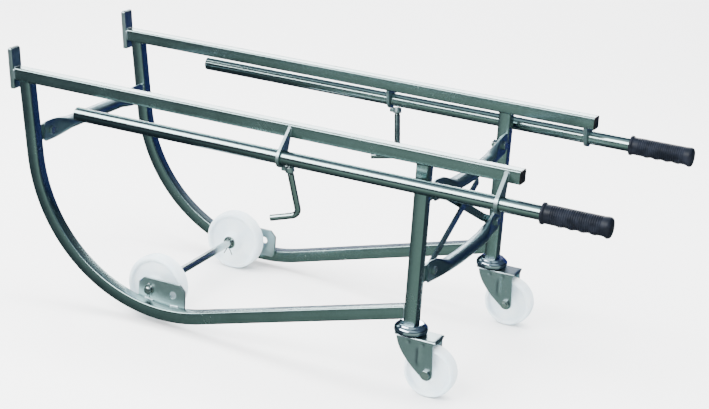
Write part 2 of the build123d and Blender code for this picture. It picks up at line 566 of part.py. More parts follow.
caster_wheel = wheel(CASTER_RADIUS, CASTER_WIDTH, CASTER_RIM, CASTER_WEB,
                     CASTER_HUB_RADIUS, CASTER_HUB_LENGTH, BUSH_RADIUS + RUN)
save_pair("caster_cup", under_post(caster_cup()))
save_pair("caster_stem", under_post(caster_stem()))
save_pair("stem_block", under_post(stem_block()))
save_pair("caster_fork", under_post(caster_fork()))
save_pair("caster_bush", under_post(caster_bush()))
save_pair("caster_axle_bolt", under_post(caster_axle_bolt()))
save_pair("caster_axle_nut", under_post(caster_axle_nut()))
save_pair("caster_wheel", under_post(Pos(CASTER_TRAIL, 0, CASTER_RADIUS) * caster_wheel))
left_balls = [under_post(ball) for ball in caster_balls()]
save("left_caster_balls", *left_balls)
save("right_caster_balls", *[left_to_right(ball) for ball in left_balls])


# Cross tubes, their tabs and bolts, and the crossed brace -------------------------------------


def cross_tube(blade_x, z, dip):
    """Round tube whose ends are pressed into flat upright blades; the middle hangs by dip."""
    mid_x = blade_x + CROSS_BLADE_THICK / 2
    flat_y, round_y = INNER_Y - CROSS_FLAT, INNER_Y - CROSS_ROUND

    def section(y, share):
        """Ellipse between the blade (share 0) and the round tube (share 1)."""
        ease = share * share * (3 - 2 * share)
        wide = CROSS_BLADE_THICK / 2 + (CROSS_RADIUS - CROSS_BLADE_THICK / 2) * share
        tall = CROSS_BLADE_HEIGHT / 2 + (CROSS_RADIUS - CROSS_BLADE_HEIGHT / 2) * share
        plane = Plane(origin=(mid_x, y, z - dip * ease), x_dir=(1, 0, 0), z_dir=(0, 1, 0))
        return plane * Ellipse(wide, tall)

    tube = rod_y(CROSS_RADIUS, mid_x, z - dip, -round_y, round_y)
    tube -= rod_y(CROSS_RADIUS - WALL, mid_x, z - dip, -round_y, round_y)
    for side in (-1, 1):
        shares = [i / 4 for i in range(5)]
        tube += loft([section(side * (flat_y + (round_y - flat_y) * share), share) for share in shares])
        near, far = sorted((side * flat_y, side * (INNER_Y - CROSS_TIP)))
        blade = block((blade_x, blade_x + CROSS_BLADE_THICK), (near, far),
                      (z - CROSS_BLADE_HEIGHT / 2, z + CROSS_BLADE_HEIGHT / 2))
        tip = blade.edges().filter_by(Axis.X).sort_by(Axis.Y)
        tube += chamfer(tip[-2:] if side > 0 else tip[:2], CROSS_BLADE_HEIGHT / 4)
        tube -= rod_x(BOLT_RADIUS, side * BOLT_Y, z, blade_x - TUBE, blade_x + TUBE)
    return tube


def tab(side, x, z):
    """Small plate on the side frame's inner face, rounded at its bolt hole."""
    far = BOLT_Y - TAB_PAST_BOLT + TAB_HEIGHT / 2
    plate = block((x, x + TAB_THICK), sorted((side * far, side * INNER_Y)),
                  (z - TAB_HEIGHT / 2, z + TAB_HEIGHT / 2))
    plate += rod_x(TAB_HEIGHT / 2, side * far, z, x, x + TAB_THICK)
    return plate - rod_x(BOLT_RADIUS, side * BOLT_Y, z, x - TUBE, x + TUBE)


def bolt(side, z, head_x, nut_x):
    """Hexagon bolt along x with its head to the rear."""
    shank = rod_x(BOLT_RADIUS, side * BOLT_Y, z, nut_x - BOLT_NUT - BOLT_PAST_NUT, head_x)
    return shank + hexagon_x(BOLT_FLATS, side * BOLT_Y, z, head_x, head_x + BOLT_HEAD)


def nut(side, z, nut_x):
    """Hexagon nut in front of the stack."""
    ring = hexagon_x(BOLT_FLATS, side * BOLT_Y, z, nut_x - BOLT_NUT, nut_x)
    return ring - rod_x(BOLT_RADIUS, side * BOLT_Y, z, nut_x - BOLT_NUT * 2, nut_x + BOLT_NUT)


def brace_bar(low_side, steps):
    """Flat bar between two bolts. steps are (distance from the low bolt, x offset) of its middle."""
    rise = REAR_UPPER_Z - REAR_LOWER_Z
    run = 2 * BOLT_Y
    length = hypot(run, rise)
    c, s = -low_side * run / length, rise / length
    start = (REAR_BAR_X + BAR_THICK / 2, low_side * BOLT_Y, REAR_LOWER_Z)
    flat = Plane(origin=start, x_dir=(0, c, s), z_dir=(0, s, -c))
    front = [(distance, offset - BAR_THICK / 2) for distance, offset in steps]
    back = [(distance, offset + BAR_THICK / 2) for distance, offset in reversed(steps)]
    bar = extrude(flat * make_face(Polyline(*front, *back, close=True)), BAR_WIDTH / 2, both=True)
    face_on = Plane(origin=start, x_dir=(0, c, s), z_dir=(1, 0, 0))
    outline = Pos(length / 2, 0) * SlotCenterToCenter(length, BAR_WIDTH)
    bar &= extrude(face_on * outline, TUBE, both=True)
    for end in (0, length):
        bar -= face_on * Pos(end, 0, 0) * Cylinder(BOLT_RADIUS, TUBE * 2)
    return bar


cross_places = [(FRONT_TAB_X, FRONT_CROSS_Z), (REAR_TAB_X, REAR_LOWER_Z), (REAR_TAB_X, REAR_UPPER_Z)]
save("front_cross_tube", cross_tube(FRONT_BLADE_X, FRONT_CROSS_Z, 0))
save("rear_lower_cross_tube", cross_tube(REAR_BLADE_X, REAR_LOWER_Z, REAR_DIP))
save("rear_upper_cross_tube", cross_tube(REAR_BLADE_X, REAR_UPPER_Z, REAR_DIP))
save("cross_tube_tabs", *[tab(side, x, z) for side in (-1, 1) for x, z in cross_places])

bolt_places = [(side, z, x + TAB_THICK + CROSS_BLADE_THICK, x - (BAR_THICK if x == REAR_TAB_X else 0))
               for side in (-1, 1) for x, z in cross_places]
save("cross_bolts", *[bolt(side, z, head_x, nut_x) for side, z, head_x, nut_x in bolt_places])
save("cross_nuts", *[nut(side, z, nut_x) for side, z, head_x, nut_x in bolt_places])

bar_rise = REAR_UPPER_Z - REAR_LOWER_Z
bar_end = hypot(2 * BOLT_Y, bar_rise)
past_end = BAR_WIDTH
bar_drop = REAR_DIP + CROSS_RADIUS + BAR_PAST_TUBE + BAR_WIDTH / 2 * bar_end / (2 * BOLT_Y)
bar_pass = bar_drop * bar_end / bar_rise
upper_steps = [(bar_end - BAR_SEAT - BAR_RAMP, -BAR_JOGGLE), (bar_end - BAR_SEAT, 0),
               (bar_end + past_end, 0)]
rear_bar_steps = [(-past_end, 0), (bar_end - bar_pass - BAR_RAMP, 0), (bar_end - bar_pass, -BAR_JOGGLE)]
front_bar_steps = [(-past_end, 0), (BAR_SEAT, 0), (BAR_SEAT + BAR_RAMP, -BAR_JOGGLE)]
save("brace_bar_rear", brace_bar(-1, rear_bar_steps + upper_steps))
save("brace_bar_front", brace_bar(1, front_bar_steps + upper_steps))

print("origin is", CENTRE_X, "mm behind the rails' front end")
print("angle of the brace", round(degrees(atan2(bar_rise, 2 * BOLT_Y)), 1))
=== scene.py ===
import logging
from dataclasses import dataclass
from enum import Enum
from math import asin, atan2, cos, hypot, pi, radians, sin, tan
from typing import Optional, Sequence, Union

import bmesh
import bpy
import numpy as np
from mathutils import Matrix, Vector


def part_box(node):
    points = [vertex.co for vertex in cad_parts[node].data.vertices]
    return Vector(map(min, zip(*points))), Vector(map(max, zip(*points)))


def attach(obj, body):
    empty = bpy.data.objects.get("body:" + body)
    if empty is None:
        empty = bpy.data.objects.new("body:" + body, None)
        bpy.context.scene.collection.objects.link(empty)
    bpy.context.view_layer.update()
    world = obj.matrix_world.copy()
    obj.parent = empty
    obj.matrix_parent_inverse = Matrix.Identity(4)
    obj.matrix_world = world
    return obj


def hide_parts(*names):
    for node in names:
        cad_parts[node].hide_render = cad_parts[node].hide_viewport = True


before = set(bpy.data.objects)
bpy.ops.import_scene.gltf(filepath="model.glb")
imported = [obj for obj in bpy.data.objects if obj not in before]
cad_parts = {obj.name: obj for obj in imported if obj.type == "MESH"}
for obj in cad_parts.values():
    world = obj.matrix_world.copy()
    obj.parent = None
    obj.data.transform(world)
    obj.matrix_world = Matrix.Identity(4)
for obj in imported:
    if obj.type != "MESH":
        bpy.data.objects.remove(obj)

# A zinc-plated cradle truck for a steel drum. Sizes are in millimetres and angles in degrees, except
# that finishes and studio are in metres. +X points to the handles and +Z up.

LOG = logging.getLogger("drum_truck")
MM = 0.001
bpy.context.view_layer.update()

X_AXIS = np.array((1.0, 0.0, 0.0))
Y_AXIS = np.array((0.0, 1.0, 0.0))
Z_AXIS = np.array((0.0, 0.0, 1.0))

MERGE_REACH = 2e-6    # points closer than this, in metres, become one
THIN_EDGE = 1e-7      # edges shorter than this, in metres, are dropped
SHARP_ANGLE = 32.0    # edges steeper than this stay sharp
FLAT_ANGLE = 0.6      # triangles that differ by less become one face
BEVEL_ANGLE = 40.0    # edges steeper than this are rounded
EDGE_SHARE = 0.45     # share of an edge that a rounded corner may take up
ALONG = 0.7           # cosine above which two directions count as the same way

Color = tuple[float, float, float]
Triple = tuple[float, float, float]
Feed = Union[bpy.types.NodeSocket, float, Color]


class Side(Enum):
    """The two sides of the truck, with the sign of their y."""

    LEFT = -1
    RIGHT = 1

    @property
    def label(self) -> str:
        """Prefix of this side's node and piece names."""
        return self.name.lower()


class Slot(Enum):
    """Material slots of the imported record."""

    FRAME = "frame_zinc"
    TUBE = "tube_zinc"
    BAR = "bar_zinc"
    PRESSED = "pressed_zinc"
    BRIGHT = "bright_zinc"
    HARDWARE = "hardware"
    BALLS = "ball_steel"
    NYLON = "nylon"
    RUBBER = "rubber"
    PLASTIC = "black_plastic"


class MixSocket(Enum):
    """Places of the colour sockets on a Mix node."""

    AMOUNT = 0
    FIRST = 6
    SECOND = 7
    RESULT = 2


# Finishes --------------------------------------------------------------------------------------


class NodeBench:
    """Short ways to add and join the nodes of one tree."""

    def __init__(self, tree: bpy.types.NodeTree) -> None:
        """Work on the given node tree."""
        self.tree = tree

    def add(self, kind: str, **values: object) -> bpy.types.Node:
        """Add a node and set its properties or sockets by name.

        Args:
            kind: The node's type name.
            **values: Properties, or input values for sockets of the same name.

        Returns:
            The new node.
        """
        node = self.tree.nodes.new(kind)
        for key, value in values.items():
            socket = node.inputs.get(key.replace("_", " "))
            if socket is not None:
                socket.default_value = value
            else:
                setattr(node, key, value)
        return node

    def link(self, source: bpy.types.NodeSocket, target: bpy.types.NodeSocket) -> None:
        """Join an output to an input."""
        self.tree.links.new(source, target)

    def feed(self, value: Feed, target: bpy.types.NodeSocket) -> None:
        """Give an input its value.

        Args:
            value: An output to join, a number, or a colour without its alpha.
            target: The input.
        """
        if isinstance(value, bpy.types.NodeSocket):
            self.link(value, target)
        elif isinstance(value, tuple):
            target.default_value = (*value, 1.0)
        else:
            target.default_value = value

    def maths(self, operation: str, *values: Feed) -> bpy.types.NodeSocket:
        """One step of arithmetic.

        Args:
            operation: The Math node's operation.
            *values: Its inputs in order.

        Returns:
            The result's socket.
        """
        node = self.add("ShaderNodeMath", operation=operation)
        for value, target in zip(values, node.inputs):
            self.feed(value, target)
        return node.outputs[0]

    def spread(self, source: bpy.types.NodeSocket, low: float = 0.0, high: float = 1.0,
               start: float = 0.0, end: float = 1.0, curve: str = "LINEAR") -> bpy.types.NodeSocket:
        """Map a value from start..end to low..high, clamped.

        Args:
            source: The value.
            low: Result at start.
            high: Result at end.
            start: Value that gives low.
            end: Value that gives high.
            curve: LINEAR, or SMOOTHSTEP for 3 t^2 - 2 t^3 between the two.

        Returns:
            The mapped value's socket.
        """
        node = self.add("ShaderNodeMapRange", interpolation_type=curve, From_Min=start, From_Max=end,
                        To_Min=low, To_Max=high)
        self.link(source, node.inputs["Value"])
        return node.outputs["Result"]

    def blend(self, amount: bpy.types.NodeSocket, first: Feed, second: Feed) -> bpy.types.NodeSocket:
        """Mix two colours as first + amount * (second - first).

        Args:
            amount: 0 for the first colour, 1 for the second.
            first: Colour or its socket.
            second: Colour or its socket.

        Returns:
            The mixed colour's socket.
        """
        node = self.add("ShaderNodeMix", data_type="RGBA")
        self.feed(first, node.inputs[MixSocket.FIRST.value])
        self.feed(second, node.inputs[MixSocket.SECOND.value])
        self.link(amount, node.inputs[MixSocket.AMOUNT.value])
        return node.outputs[MixSocket.RESULT.value]


class FinishBench(NodeBench):
    """A new material with one Principled shader, and the patterns that finishes share."""

    def __init__(self, name: str) -> None:
        """Start the material.

        Args:
            name: The material's name.
        """
        self.material = bpy.data.materials.new(name)
        self.material.use_nodes = True
        super().__init__(self.material.node_tree)
        self.shader = self.tree.nodes["Principled BSDF"]
        self.place = self.add("ShaderNodeTexCoord").outputs["Object"]

    def set(self, **values: object) -> None:
        """Set the shader's own sockets, with underscores for spaces."""
        for key, value in values.items():
            self.shader.inputs[key.replace("_", " ")].default_value = value

    def drive(self, socket: str, source: bpy.types.NodeSocket) -> None:
        """Join an output to the shader's socket of that name."""
        self.link(source, self.shader.inputs[socket])

    def stretched(self, scale: Triple) -> bpy.types.NodeSocket:
        """Object coordinates times a factor along each axis."""
        mapping = self.add("ShaderNodeMapping", Scale=scale)
        self.link(self.place, mapping.inputs["Vector"])
        return mapping.outputs["Vector"]

    def noise(self, scale: float, detail: float,
              vector: Optional[bpy.types.NodeSocket] = None) -> bpy.types.NodeSocket:
        """Fractal noise between 0 and 1.

        Args:
            scale: Features per metre.
            detail: Octaves.
            vector: Where it is read, if not at object coordinates.

        Returns:
            The noise value's socket.
        """
        node = self.add("ShaderNodeTexNoise", Scale=scale, Detail=detail)
        self.link(self.place if vector is None else vector, node.inputs["Vector"])
        return node.outputs["Fac"]

    def bump(self, height: bpy.types.NodeSocket, strength: float, distance: float) -> None:
        """Drive the shader's normal from a height, stacked on any bump before it.

        Args:
            height: Height between 0 and 1.
            strength: Share of the bump that is used.
            distance: Height in metres that 1 stands for.
        """
        node = self.add("ShaderNodeBump", Strength=strength, Distance=distance)
        self.link(height, node.inputs["Height"])
        normal = self.shader.inputs["Normal"]
        if normal.is_linked:
            self.link(normal.links[0].from_socket, node.inputs["Normal"])
        self.link(node.outputs["Normal"], normal)


def shade(color: Color, factor: float) -> Color:
    """Colour times a factor, kept under 1."""
    return tuple(min(1.0, part * factor) for part in color)


@dataclass(frozen=True)
class ZincPlate:
    """Bright zinc plating: metal with faint crystals, cloudy patches and drawn lines.

    Tone = crystal_depth * a random value for each crystal + cloud * slow noise + line_depth * drawn
    lines. It moves the colour from its dark to its light shade and the roughness from low to high.
    """

    name: str
    slot: Slot
    color: Color
    rough: float = 0.30
    rough_share: tuple[float, float] = (0.8, 1.3)
    dark: float = 0.80
    light: float = 1.12
    crystal: float = 0.006
    crystal_depth: float = 0.11
    cloud: float = 0.15
    lines: Triple = (6.0, 400.0, 400.0)
    line_depth: float = 0.10

    def material(self) -> bpy.types.Material:
        """Crystals from Voronoi cells, patches from slow noise and lines from stretched noise."""
        bench = FinishBench(self.name)
        bench.set(Metallic=1.0)
        cells = bench.add("ShaderNodeTexVoronoi", Scale=1.0 / self.crystal, feature="F1")
        bench.link(bench.place, cells.inputs["Vector"])
        grain = bench.add("ShaderNodeSeparateColor")
        bench.link(cells.outputs["Color"], grain.inputs["Color"])
        cloud = bench.noise(scale=14.0, detail=4.0)
        drawn = bench.noise(scale=1.0, detail=3.0, vector=bench.stretched(self.lines))
        patches = bench.spread(cloud, low=-self.cloud, high=self.cloud, start=0.3, end=0.7)
        tone = bench.maths("MULTIPLY_ADD", grain.outputs["Red"], self.crystal_depth, patches)
        worn = bench.maths("MULTIPLY_ADD", drawn, self.line_depth, tone)
        amount = bench.spread(worn, start=-0.25, end=0.45)
        dark, light = shade(self.color, self.dark), shade(self.color, self.light)
        bench.drive("Base Color", bench.blend(amount, dark, light))
        low, high = (self.rough * share for share in self.rough_share)
        bench.drive("Roughness", bench.spread(worn, low, high, start=-0.2, end=0.45))
        bench.bump(bench.noise(scale=420.0, detail=3.0), strength=0.12, distance=0.0002)
        bench.bump(drawn, strength=0.10, distance=0.0003)
        return bench.material


@dataclass(frozen=True)
class WeldMetal:
    """Plated weld bead: bright, lumpy metal."""

    name: str = "plated_weld"
    slot: Slot = Slot.BRIGHT
    color: Color = (0.50, 0.60, 0.63)
    dark: float = 0.7
    rough: tuple[float, float] = (0.24, 0.432)

    def material(self) -> bpy.types.Material:
        """Metal with spatter-sized noise in colour and height."""
        bench = FinishBench(self.name)
        bench.set(Metallic=1.0)
        lumps = bench.noise(scale=380.0, detail=3.0)
        bench.drive("Base Color", bench.blend(lumps, shade(self.color, self.dark), self.color))
        bench.drive("Roughness", bench.spread(lumps, *self.rough))
        bench.bump(lumps, strength=0.35, distance=0.0006)
        return bench.material


@dataclass(frozen=True)
class CastNylon:
    """White nylon: waxy and slightly translucent, with a painted pale blue shade in cloudy patches and faint
    scuffs.
    """

    name: str = "cast_nylon"
    slot: Slot = Slot.NYLON
    color: Color = (0.74, 0.83, 0.86)
    # Painted shade: a pale blue colour that stands in for the wheels' soft shading.
    cool: Color = (0.42, 0.60, 0.74)
    rough: tuple[float, float] = (0.26, 0.48)

    def material(self) -> bpy.types.Material:
        """Painted pale blue shade in cloudy patches, and soft scattering under a satin surface."""
        bench = FinishBench(self.name)
        bench.set(Subsurface_Weight=0.22, Subsurface_Radius=(0.6, 0.9, 1.0), Subsurface_Scale=0.008,
                  Specular_IOR_Level=0.45)
        cloud = bench.noise(scale=22.0, detail=3.0)
        amount = bench.spread(cloud, high=0.55, start=0.35, end=0.75)
        # Painted shade: the pale blue shade colour is mixed into the white where the cloud noise is high.
        bench.drive("Base Color", bench.blend(amount, self.color, self.cool))
        scuffs = bench.noise(scale=160.0, detail=5.0, vector=bench.stretched((1.0, 4.0, 1.0)))
        bench.drive("Roughness", bench.spread(scuffs, *self.rough, start=0.3, end=0.7))
        bench.bump(scuffs, strength=0.10, distance=0.0003)
        return bench.material


@dataclass(frozen=True)
class GripRubber:
    """Blue-black moulded rubber with a fine grain and paler worn crests."""

    name: str = "grip_rubber"
    slot: Slot = Slot.RUBBER
    color: Color = (0.0035, 0.005, 0.009)
    worn: Color = (0.008, 0.011, 0.019)
    rough: tuple[float, float] = (0.34, 0.55)

    def material(self) -> bpy.types.Material:
        """Grain bump, with a worn tint where slow noise is high."""
        bench = FinishBench(self.name)
        bench.set(Specular_IOR_Level=0.16)
        wear = bench.noise(scale=60.0, detail=5.0)
        amount = bench.spread(wear, start=0.42, end=0.72)
        bench.drive("Base Color", bench.blend(amount, self.color, self.worn))
        bench.drive("Roughness", bench.spread(wear, *self.rough, start=0.3, end=0.7))
        bench.bump(bench.noise(scale=900.0, detail=2.0), strength=0.25, distance=0.0002)
        return bench.material


@dataclass(frozen=True)
class MouldedPlastic:
    """Black moulded plastic with a light grain."""

    name: str = "black_plastic"
    slot: Slot = Slot.PLASTIC
    color: Color = (0.003, 0.003, 0.004)
    bloom: Color = (0.008, 0.008, 0.010)
    rough: tuple[float, float] = (0.30, 0.50)

    def material(self) -> bpy.types.Material:
        """Near-black with a faint grey bloom and grain."""
        bench = FinishBench(self.name)
        bench.set(Specular_IOR_Level=0.2)
        cloud = bench.noise(scale=90.0, detail=4.0)
        amount = bench.spread(cloud, start=0.4, end=0.8)
        bench.drive("Base Color", bench.blend(amount, self.color, self.bloom))
        bench.drive("Roughness", bench.spread(cloud, *self.rough))
        bench.bump(bench.noise(scale=700.0, detail=2.0), strength=0.2, distance=0.0002)
        return bench.material


@dataclass(frozen=True)
class FloorPaint:
    """Plain pale floor."""

    name: str = "pale_floor"
    color: Color = (0.93, 0.93, 0.93)
    mottle: float = 0.985

    def material(self) -> bpy.types.Material:
        """Matt near-white with barely visible mottling."""
        bench = FinishBench(self.name)
        bench.set(Roughness=0.9, Specular_IOR_Level=0.1)
        cloud = bench.noise(scale=2.0, detail=2.0)
        bench.drive("Base Color", bench.blend(cloud, self.color, shade(self.color, self.mottle)))
        return bench.material


FINISHES = {
    "frame": ZincPlate("zinc_square_tube", Slot.FRAME, (0.25, 0.34, 0.34), rough=0.24),
    "tube": ZincPlate("zinc_round_tube", Slot.TUBE, (0.30, 0.39, 0.385), rough=0.17, crystal=0.004,
                      crystal_depth=0.10),
    "cross": ZincPlate("zinc_cross_tube", Slot.TUBE, (0.27, 0.37, 0.41), rough=0.36, crystal=0.004,
                       crystal_depth=0.08, cloud=0.14, lines=(400.0, 6.0, 400.0)),
    "flat": ZincPlate("zinc_flat_bar", Slot.FRAME, (0.42, 0.53, 0.54), rough=0.36, cloud=0.16),
    "bar": ZincPlate("zinc_round_bar", Slot.BAR, (0.30, 0.37, 0.37), rough=0.22, lines=(300.0, 300.0, 8.0)),
    "pressed": ZincPlate("zinc_pressed_sheet", Slot.PRESSED, (0.37, 0.47, 0.49), rough=0.32,
                         lines=(300.0, 300.0, 10.0)),
    "bright": ZincPlate("zinc_bright_cup", Slot.BRIGHT, (0.50, 0.58, 0.66), rough=0.09, cloud=0.1,
                        crystal_depth=0.05, line_depth=0.02),
    "hardware": ZincPlate("zinc_hardware", Slot.HARDWARE, (0.42, 0.48, 0.48), rough=0.20, crystal=0.003),
    "balls": ZincPlate("bearing_steel", Slot.BALLS, (0.50, 0.52, 0.55), rough=0.10, cloud=0.03,
                       crystal_depth=0.02, line_depth=0.01),
    "weld": WeldMetal(),
    "nylon": CastNylon(),
    "rubber": GripRubber(),
    "plastic": MouldedPlastic(),
    "floor": FloorPaint(),
}
_MADE: dict[str, bpy.types.Material] = {}


def dress(piece: bpy.types.Object, finish: str) -> None:
    """Give a piece one finish, whose material is made once.

    Args:
        piece: The piece.
        finish: Its key in the table of finishes.
    """
    if finish not in _MADE:
        _MADE[finish] = FINISHES[finish].material()
    piece.data.materials.clear()
    piece.data.materials.append(_MADE[finish])


# Surfaces --------------------------------------------------------------------------------------


def span(node: str) -> tuple[np.ndarray, np.ndarray]:
    """Lowest and highest corner of a CAD node, in millimetres."""
    low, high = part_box(node)
    return np.array(low) / MM, np.array(high) / MM


def unit(vectors: np.ndarray) -> np.ndarray:
    """Vectors scaled to length one along their last axis."""
    return vectors / np.linalg.norm(vectors, axis=-1, keepdims=True)


def ring(radius: float, count: int) -> np.ndarray:
    """Closed circle of points: radius times cosine and sine of evenly spaced angles."""
    angles = np.arange(count) * 2 * pi / count
    return radius * np.stack((np.cos(angles), np.sin(angles)), axis=1)


def eased(share: np.ndarray) -> np.ndarray:
    """Smooth step 3 s^2 - 2 s^3 of a share clipped to 0..1."""
    held = np.clip(share, 0, 1)
    return held ** 2 * (3 - 2 * held)


def logistic(x: np.ndarray, middle: float, slope: float) -> np.ndarray:
    """Soft step from 0 to 1: 1 / (1 + e^(-slope (x - middle))), downwards with a negative slope."""
    return 1 / (1 + np.exp(-(x - middle) * slope))


def rounded_square(size: float, corner: float, steps: int = 5) -> np.ndarray:
    """Closed square section whose corners are quarter circles.

    Args:
        size: Width over the flats.
        corner: Corner radius.
        steps: Points in each corner.

    Returns:
        Points as an array of (4 * steps, 2).
    """
    turn = np.linspace(0, pi / 2, steps)[None, :] + (np.arange(4) * pi / 2)[:, None]
    diagonal = turn.mean(axis=1)
    middle = np.stack((np.sign(np.cos(diagonal)), np.sign(np.sin(diagonal))), axis=1)
    arcs = corner * np.stack((np.cos(turn), np.sin(turn)), axis=2)
    return (arcs + middle[:, None, :] * (size / 2 - corner)).reshape(-1, 2)


def softened(corners: Sequence[Sequence[float]], steps: int = 5) -> np.ndarray:
    """Round each inner corner of an open outline with a quadratic curve.

    A corner P with neighbours A and C becomes (1-t)^2 a + 2 t (1-t) P + t^2 c, where a and c lie on
    its two edges at the corner's rounding, or at EDGE_SHARE of the edge if that is less.

    Args:
        corners: The outline's corners, each as (along, radius, rounding). The first and last corner
            stay as they are.
        steps: Points in each rounded corner.

    Returns:
        The rounded outline.
    """
    table = np.asarray(corners, float)
    points, reach = table[:, :-1], table[1:-1, -1:]
    before, after = points[:-2] - points[1:-1], points[2:] - points[1:-1]
    near = np.linalg.norm(before, axis=1, keepdims=True)
    far = np.linalg.norm(after, axis=1, keepdims=True)
    start = points[1:-1] + before / near * np.minimum(reach, near * EDGE_SHARE)
    end = points[1:-1] + after / far * np.minimum(reach, far * EDGE_SHARE)
    t = np.linspace(0, 1, steps)[None, :, None]
    curve = (1 - t) ** 2 * start[:, None] + 2 * t * (1 - t) * points[1:-1, None] + t ** 2 * end[:, None]
    return np.concatenate((points[:1], curve.reshape(-1, points.shape[1]), points[-1:]))


def carry(section: np.ndarray, path: np.ndarray, across: np.ndarray,
          scale: Optional[np.ndarray] = None) -> np.ndarray:
    """Carry a closed section along a flat path.

    Point = path + first * (across x tangent) + second * across, with the section's two numbers
    multiplied by scale where that is given.

    Args:
        section: Points (m, 2).
        path: Points (n, 3).
        across: Unit vector square to the path's plane.
        scale: Factors (n, 1) or (n, 2) for each path point.

    Returns:
        Grid of points (n, m, 3).
    """
    tangent = unit(np.gradient(path, axis=0))
    aside = np.cross(across, tangent)
    flat = np.broadcast_to(section, (len(path), *section.shape)).copy()
    if scale is not None:
        flat *= scale[:, None, :]
    return path[:, None] + flat[..., :1] * aside[:, None] + flat[..., 1:] * across


def cut_to(grid: np.ndarray, row: int, direction: np.ndarray, point: np.ndarray, normal: np.ndarray) -> None:
    """Slide one ring of a grid along a direction onto a plane, as a saw cut would leave it.

    Each point moves by ((plane point - it) . normal) / (direction . normal) along the direction.

    Args:
        grid: Points (n, m, 3), changed in place.
        row: Which ring.
        direction: Line of the tube.
        point: A point of the plane.
        normal: The plane's normal.
    """
    shift = (point - grid[row]) @ normal / (direction @ normal)
    grid[row] += shift[:, None] * direction


def turned(profile: np.ndarray, origin: Sequence[float], axis: np.ndarray, count: int = 64) -> np.ndarray:
    """Turn a profile of (along, radius) points about an axis.

    Point = origin + along * axis + radius * (cos * u + sin * v), where u and v are square to the axis.

    Args:
        profile: Points (n, 2).
        origin: A point of the axis.
        axis: Its unit vector.
        count: Points round it.

    Returns:
        Grid of points (n, count, 3).
    """
    spare = X_AXIS if abs(axis @ X_AXIS) < ALONG else Z_AXIS
    u = unit(np.cross(axis, spare))
    v = np.cross(axis, u)
    circle = ring(1.0, count)
    round_part = circle[:, :1] * u + circle[:, 1:] * v
    profile = np.asarray(profile, float)
    return np.asarray(origin, float) + profile[:, None, :1] * axis + profile[:, None, 1:] * round_part


def capped(grid: np.ndarray) -> np.ndarray:
    """Close both ends of a tube grid with a fan to the middle of its end rings."""
    first = np.broadcast_to(grid[0].mean(axis=0), grid[:1].shape)
    last = np.broadcast_to(grid[-1].mean(axis=0), grid[:1].shape)
    return np.concatenate((first, grid, last))


def placed(name: str, mesh: bpy.types.Mesh, sharp: float) -> bpy.types.Object:
    """Shade a mesh smooth between its sharp edges and put it into the scene.

    Args:
        name: The piece's name.
        mesh: Its mesh.
        sharp: Edges steeper than this angle in degrees stay sharp.

    Returns:
        The new object.
    """
    mesh.shade_smooth()
    mesh.set_sharp_from_angle(angle=radians(sharp))
    piece = bpy.data.objects.new(name, mesh)
    bpy.context.scene.collection.objects.link(piece)
    return piece


def skin(name: str, grids: Sequence[np.ndarray], sharp: float = SHARP_ANGLE,
         closed: bool = True) -> bpy.types.Object:
    """Make one object from grids of points in millimetres.

    Neighbouring rows and columns are joined by quads; closed grids also join the last column to the
    first. Doubles are merged, empty faces dropped and faces turned outwards.

    Args:
        name: The piece's name.
        grids: Arrays (n, m, 3).
        sharp: Edges steeper than this angle in degrees stay sharp.
        closed: Whether columns go all the way round.

    Returns:
        The new object.
    """
    vertices, faces, offset = [], [], 0
    for grid in grids:
        rows, columns = grid.shape[:2]
        index = offset + np.arange(rows * columns).reshape(rows, columns)
        right = np.roll(index, -1, axis=1) if closed else index[:, 1:]
        left = index if closed else index[:, :-1]
        quads = np.stack((left[:-1], right[:-1], right[1:], left[1:]), axis=-1)
        vertices.append(grid.reshape(-1, 3) * MM)
        faces.append(quads.reshape(-1, 4))
        offset += rows * columns
    mesh = bpy.data.meshes.new(name)
    mesh.from_pydata(np.concatenate(vertices).tolist(), [], np.concatenate(faces).tolist())
    work = bmesh.new()
    work.from_mesh(mesh)
    bmesh.ops.remove_doubles(work, verts=work.verts, dist=MERGE_REACH)
    bmesh.ops.dissolve_degenerate(work, edges=work.edges, dist=THIN_EDGE)
    bmesh.ops.recalc_face_normals(work, faces=work.faces)
    work.to_mesh(mesh)
    work.free()
    return placed(name, mesh, sharp)


def bevelled(piece: bpy.types.Object, width: float, segments: int = 2) -> bpy.types.Object:
    """Round a piece's hard edges with a live bevel.

    Args:
        piece: The piece.
        width: Edge radius in millimetres.
        segments: Faces across the rounding.

    Returns:
        The same piece.
    """
    bevel = piece.modifiers.new("edge_round", "BEVEL")
    bevel.width = width * MM
    bevel.segments = segments
    bevel.limit_method = "ANGLE"
    bevel.angle_limit = radians(BEVEL_ANGLE)
    bevel.harden_normals = True
    return piece


def edge_rounded_copy(node: str, width: float) -> bpy.types.Object:
    """Copy a flat-sided CAD node, merge its triangles into faces and round its edges.

    Args:
        node: The CAD node.
        width: Edge radius in millimetres.

    Returns:
        The new object, named after the node.
    """
    name = f"{node}_finished"
    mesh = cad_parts[node].data.copy()
    mesh.name = name
    work = bmesh.new()
    work.from_mesh(mesh)
    bmesh.ops.remove_doubles(work, verts=work.verts, dist=MERGE_REACH)
    bmesh.ops.dissolve_limit(work, angle_limit=radians(FLAT_ANGLE), verts=work.verts, edges=work.edges)
    work.to_mesh(mesh)
    work.free()
    return bevelled(placed(name, mesh, SHARP_ANGLE), width)


def fit(piece: bpy.types.Object, finish: str, body: str, *nodes: str) -> bpy.types.Object:
    """Dress a piece, let it ride on its body and let it stand for CAD nodes.

    Args:
        piece: The new piece.
        finish: Its key in the table of finishes.
        body: The CAD body that it moves with.
        *nodes: CAD nodes that it replaces.

    Returns:
        The same piece.
    """
    dress(piece, finish)
    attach(piece, body)
    if nodes:
        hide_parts(*nodes)
    LOG.info("%s rides on %s", piece.name, body)
    return piece


def finished_copy(node: str, finish: str, body: str, width: float) -> bpy.types.Object:
    """Replace a CAD node by its edge-rounded copy."""
    return fit(edge_rounded_copy(node, width), finish, body, node)


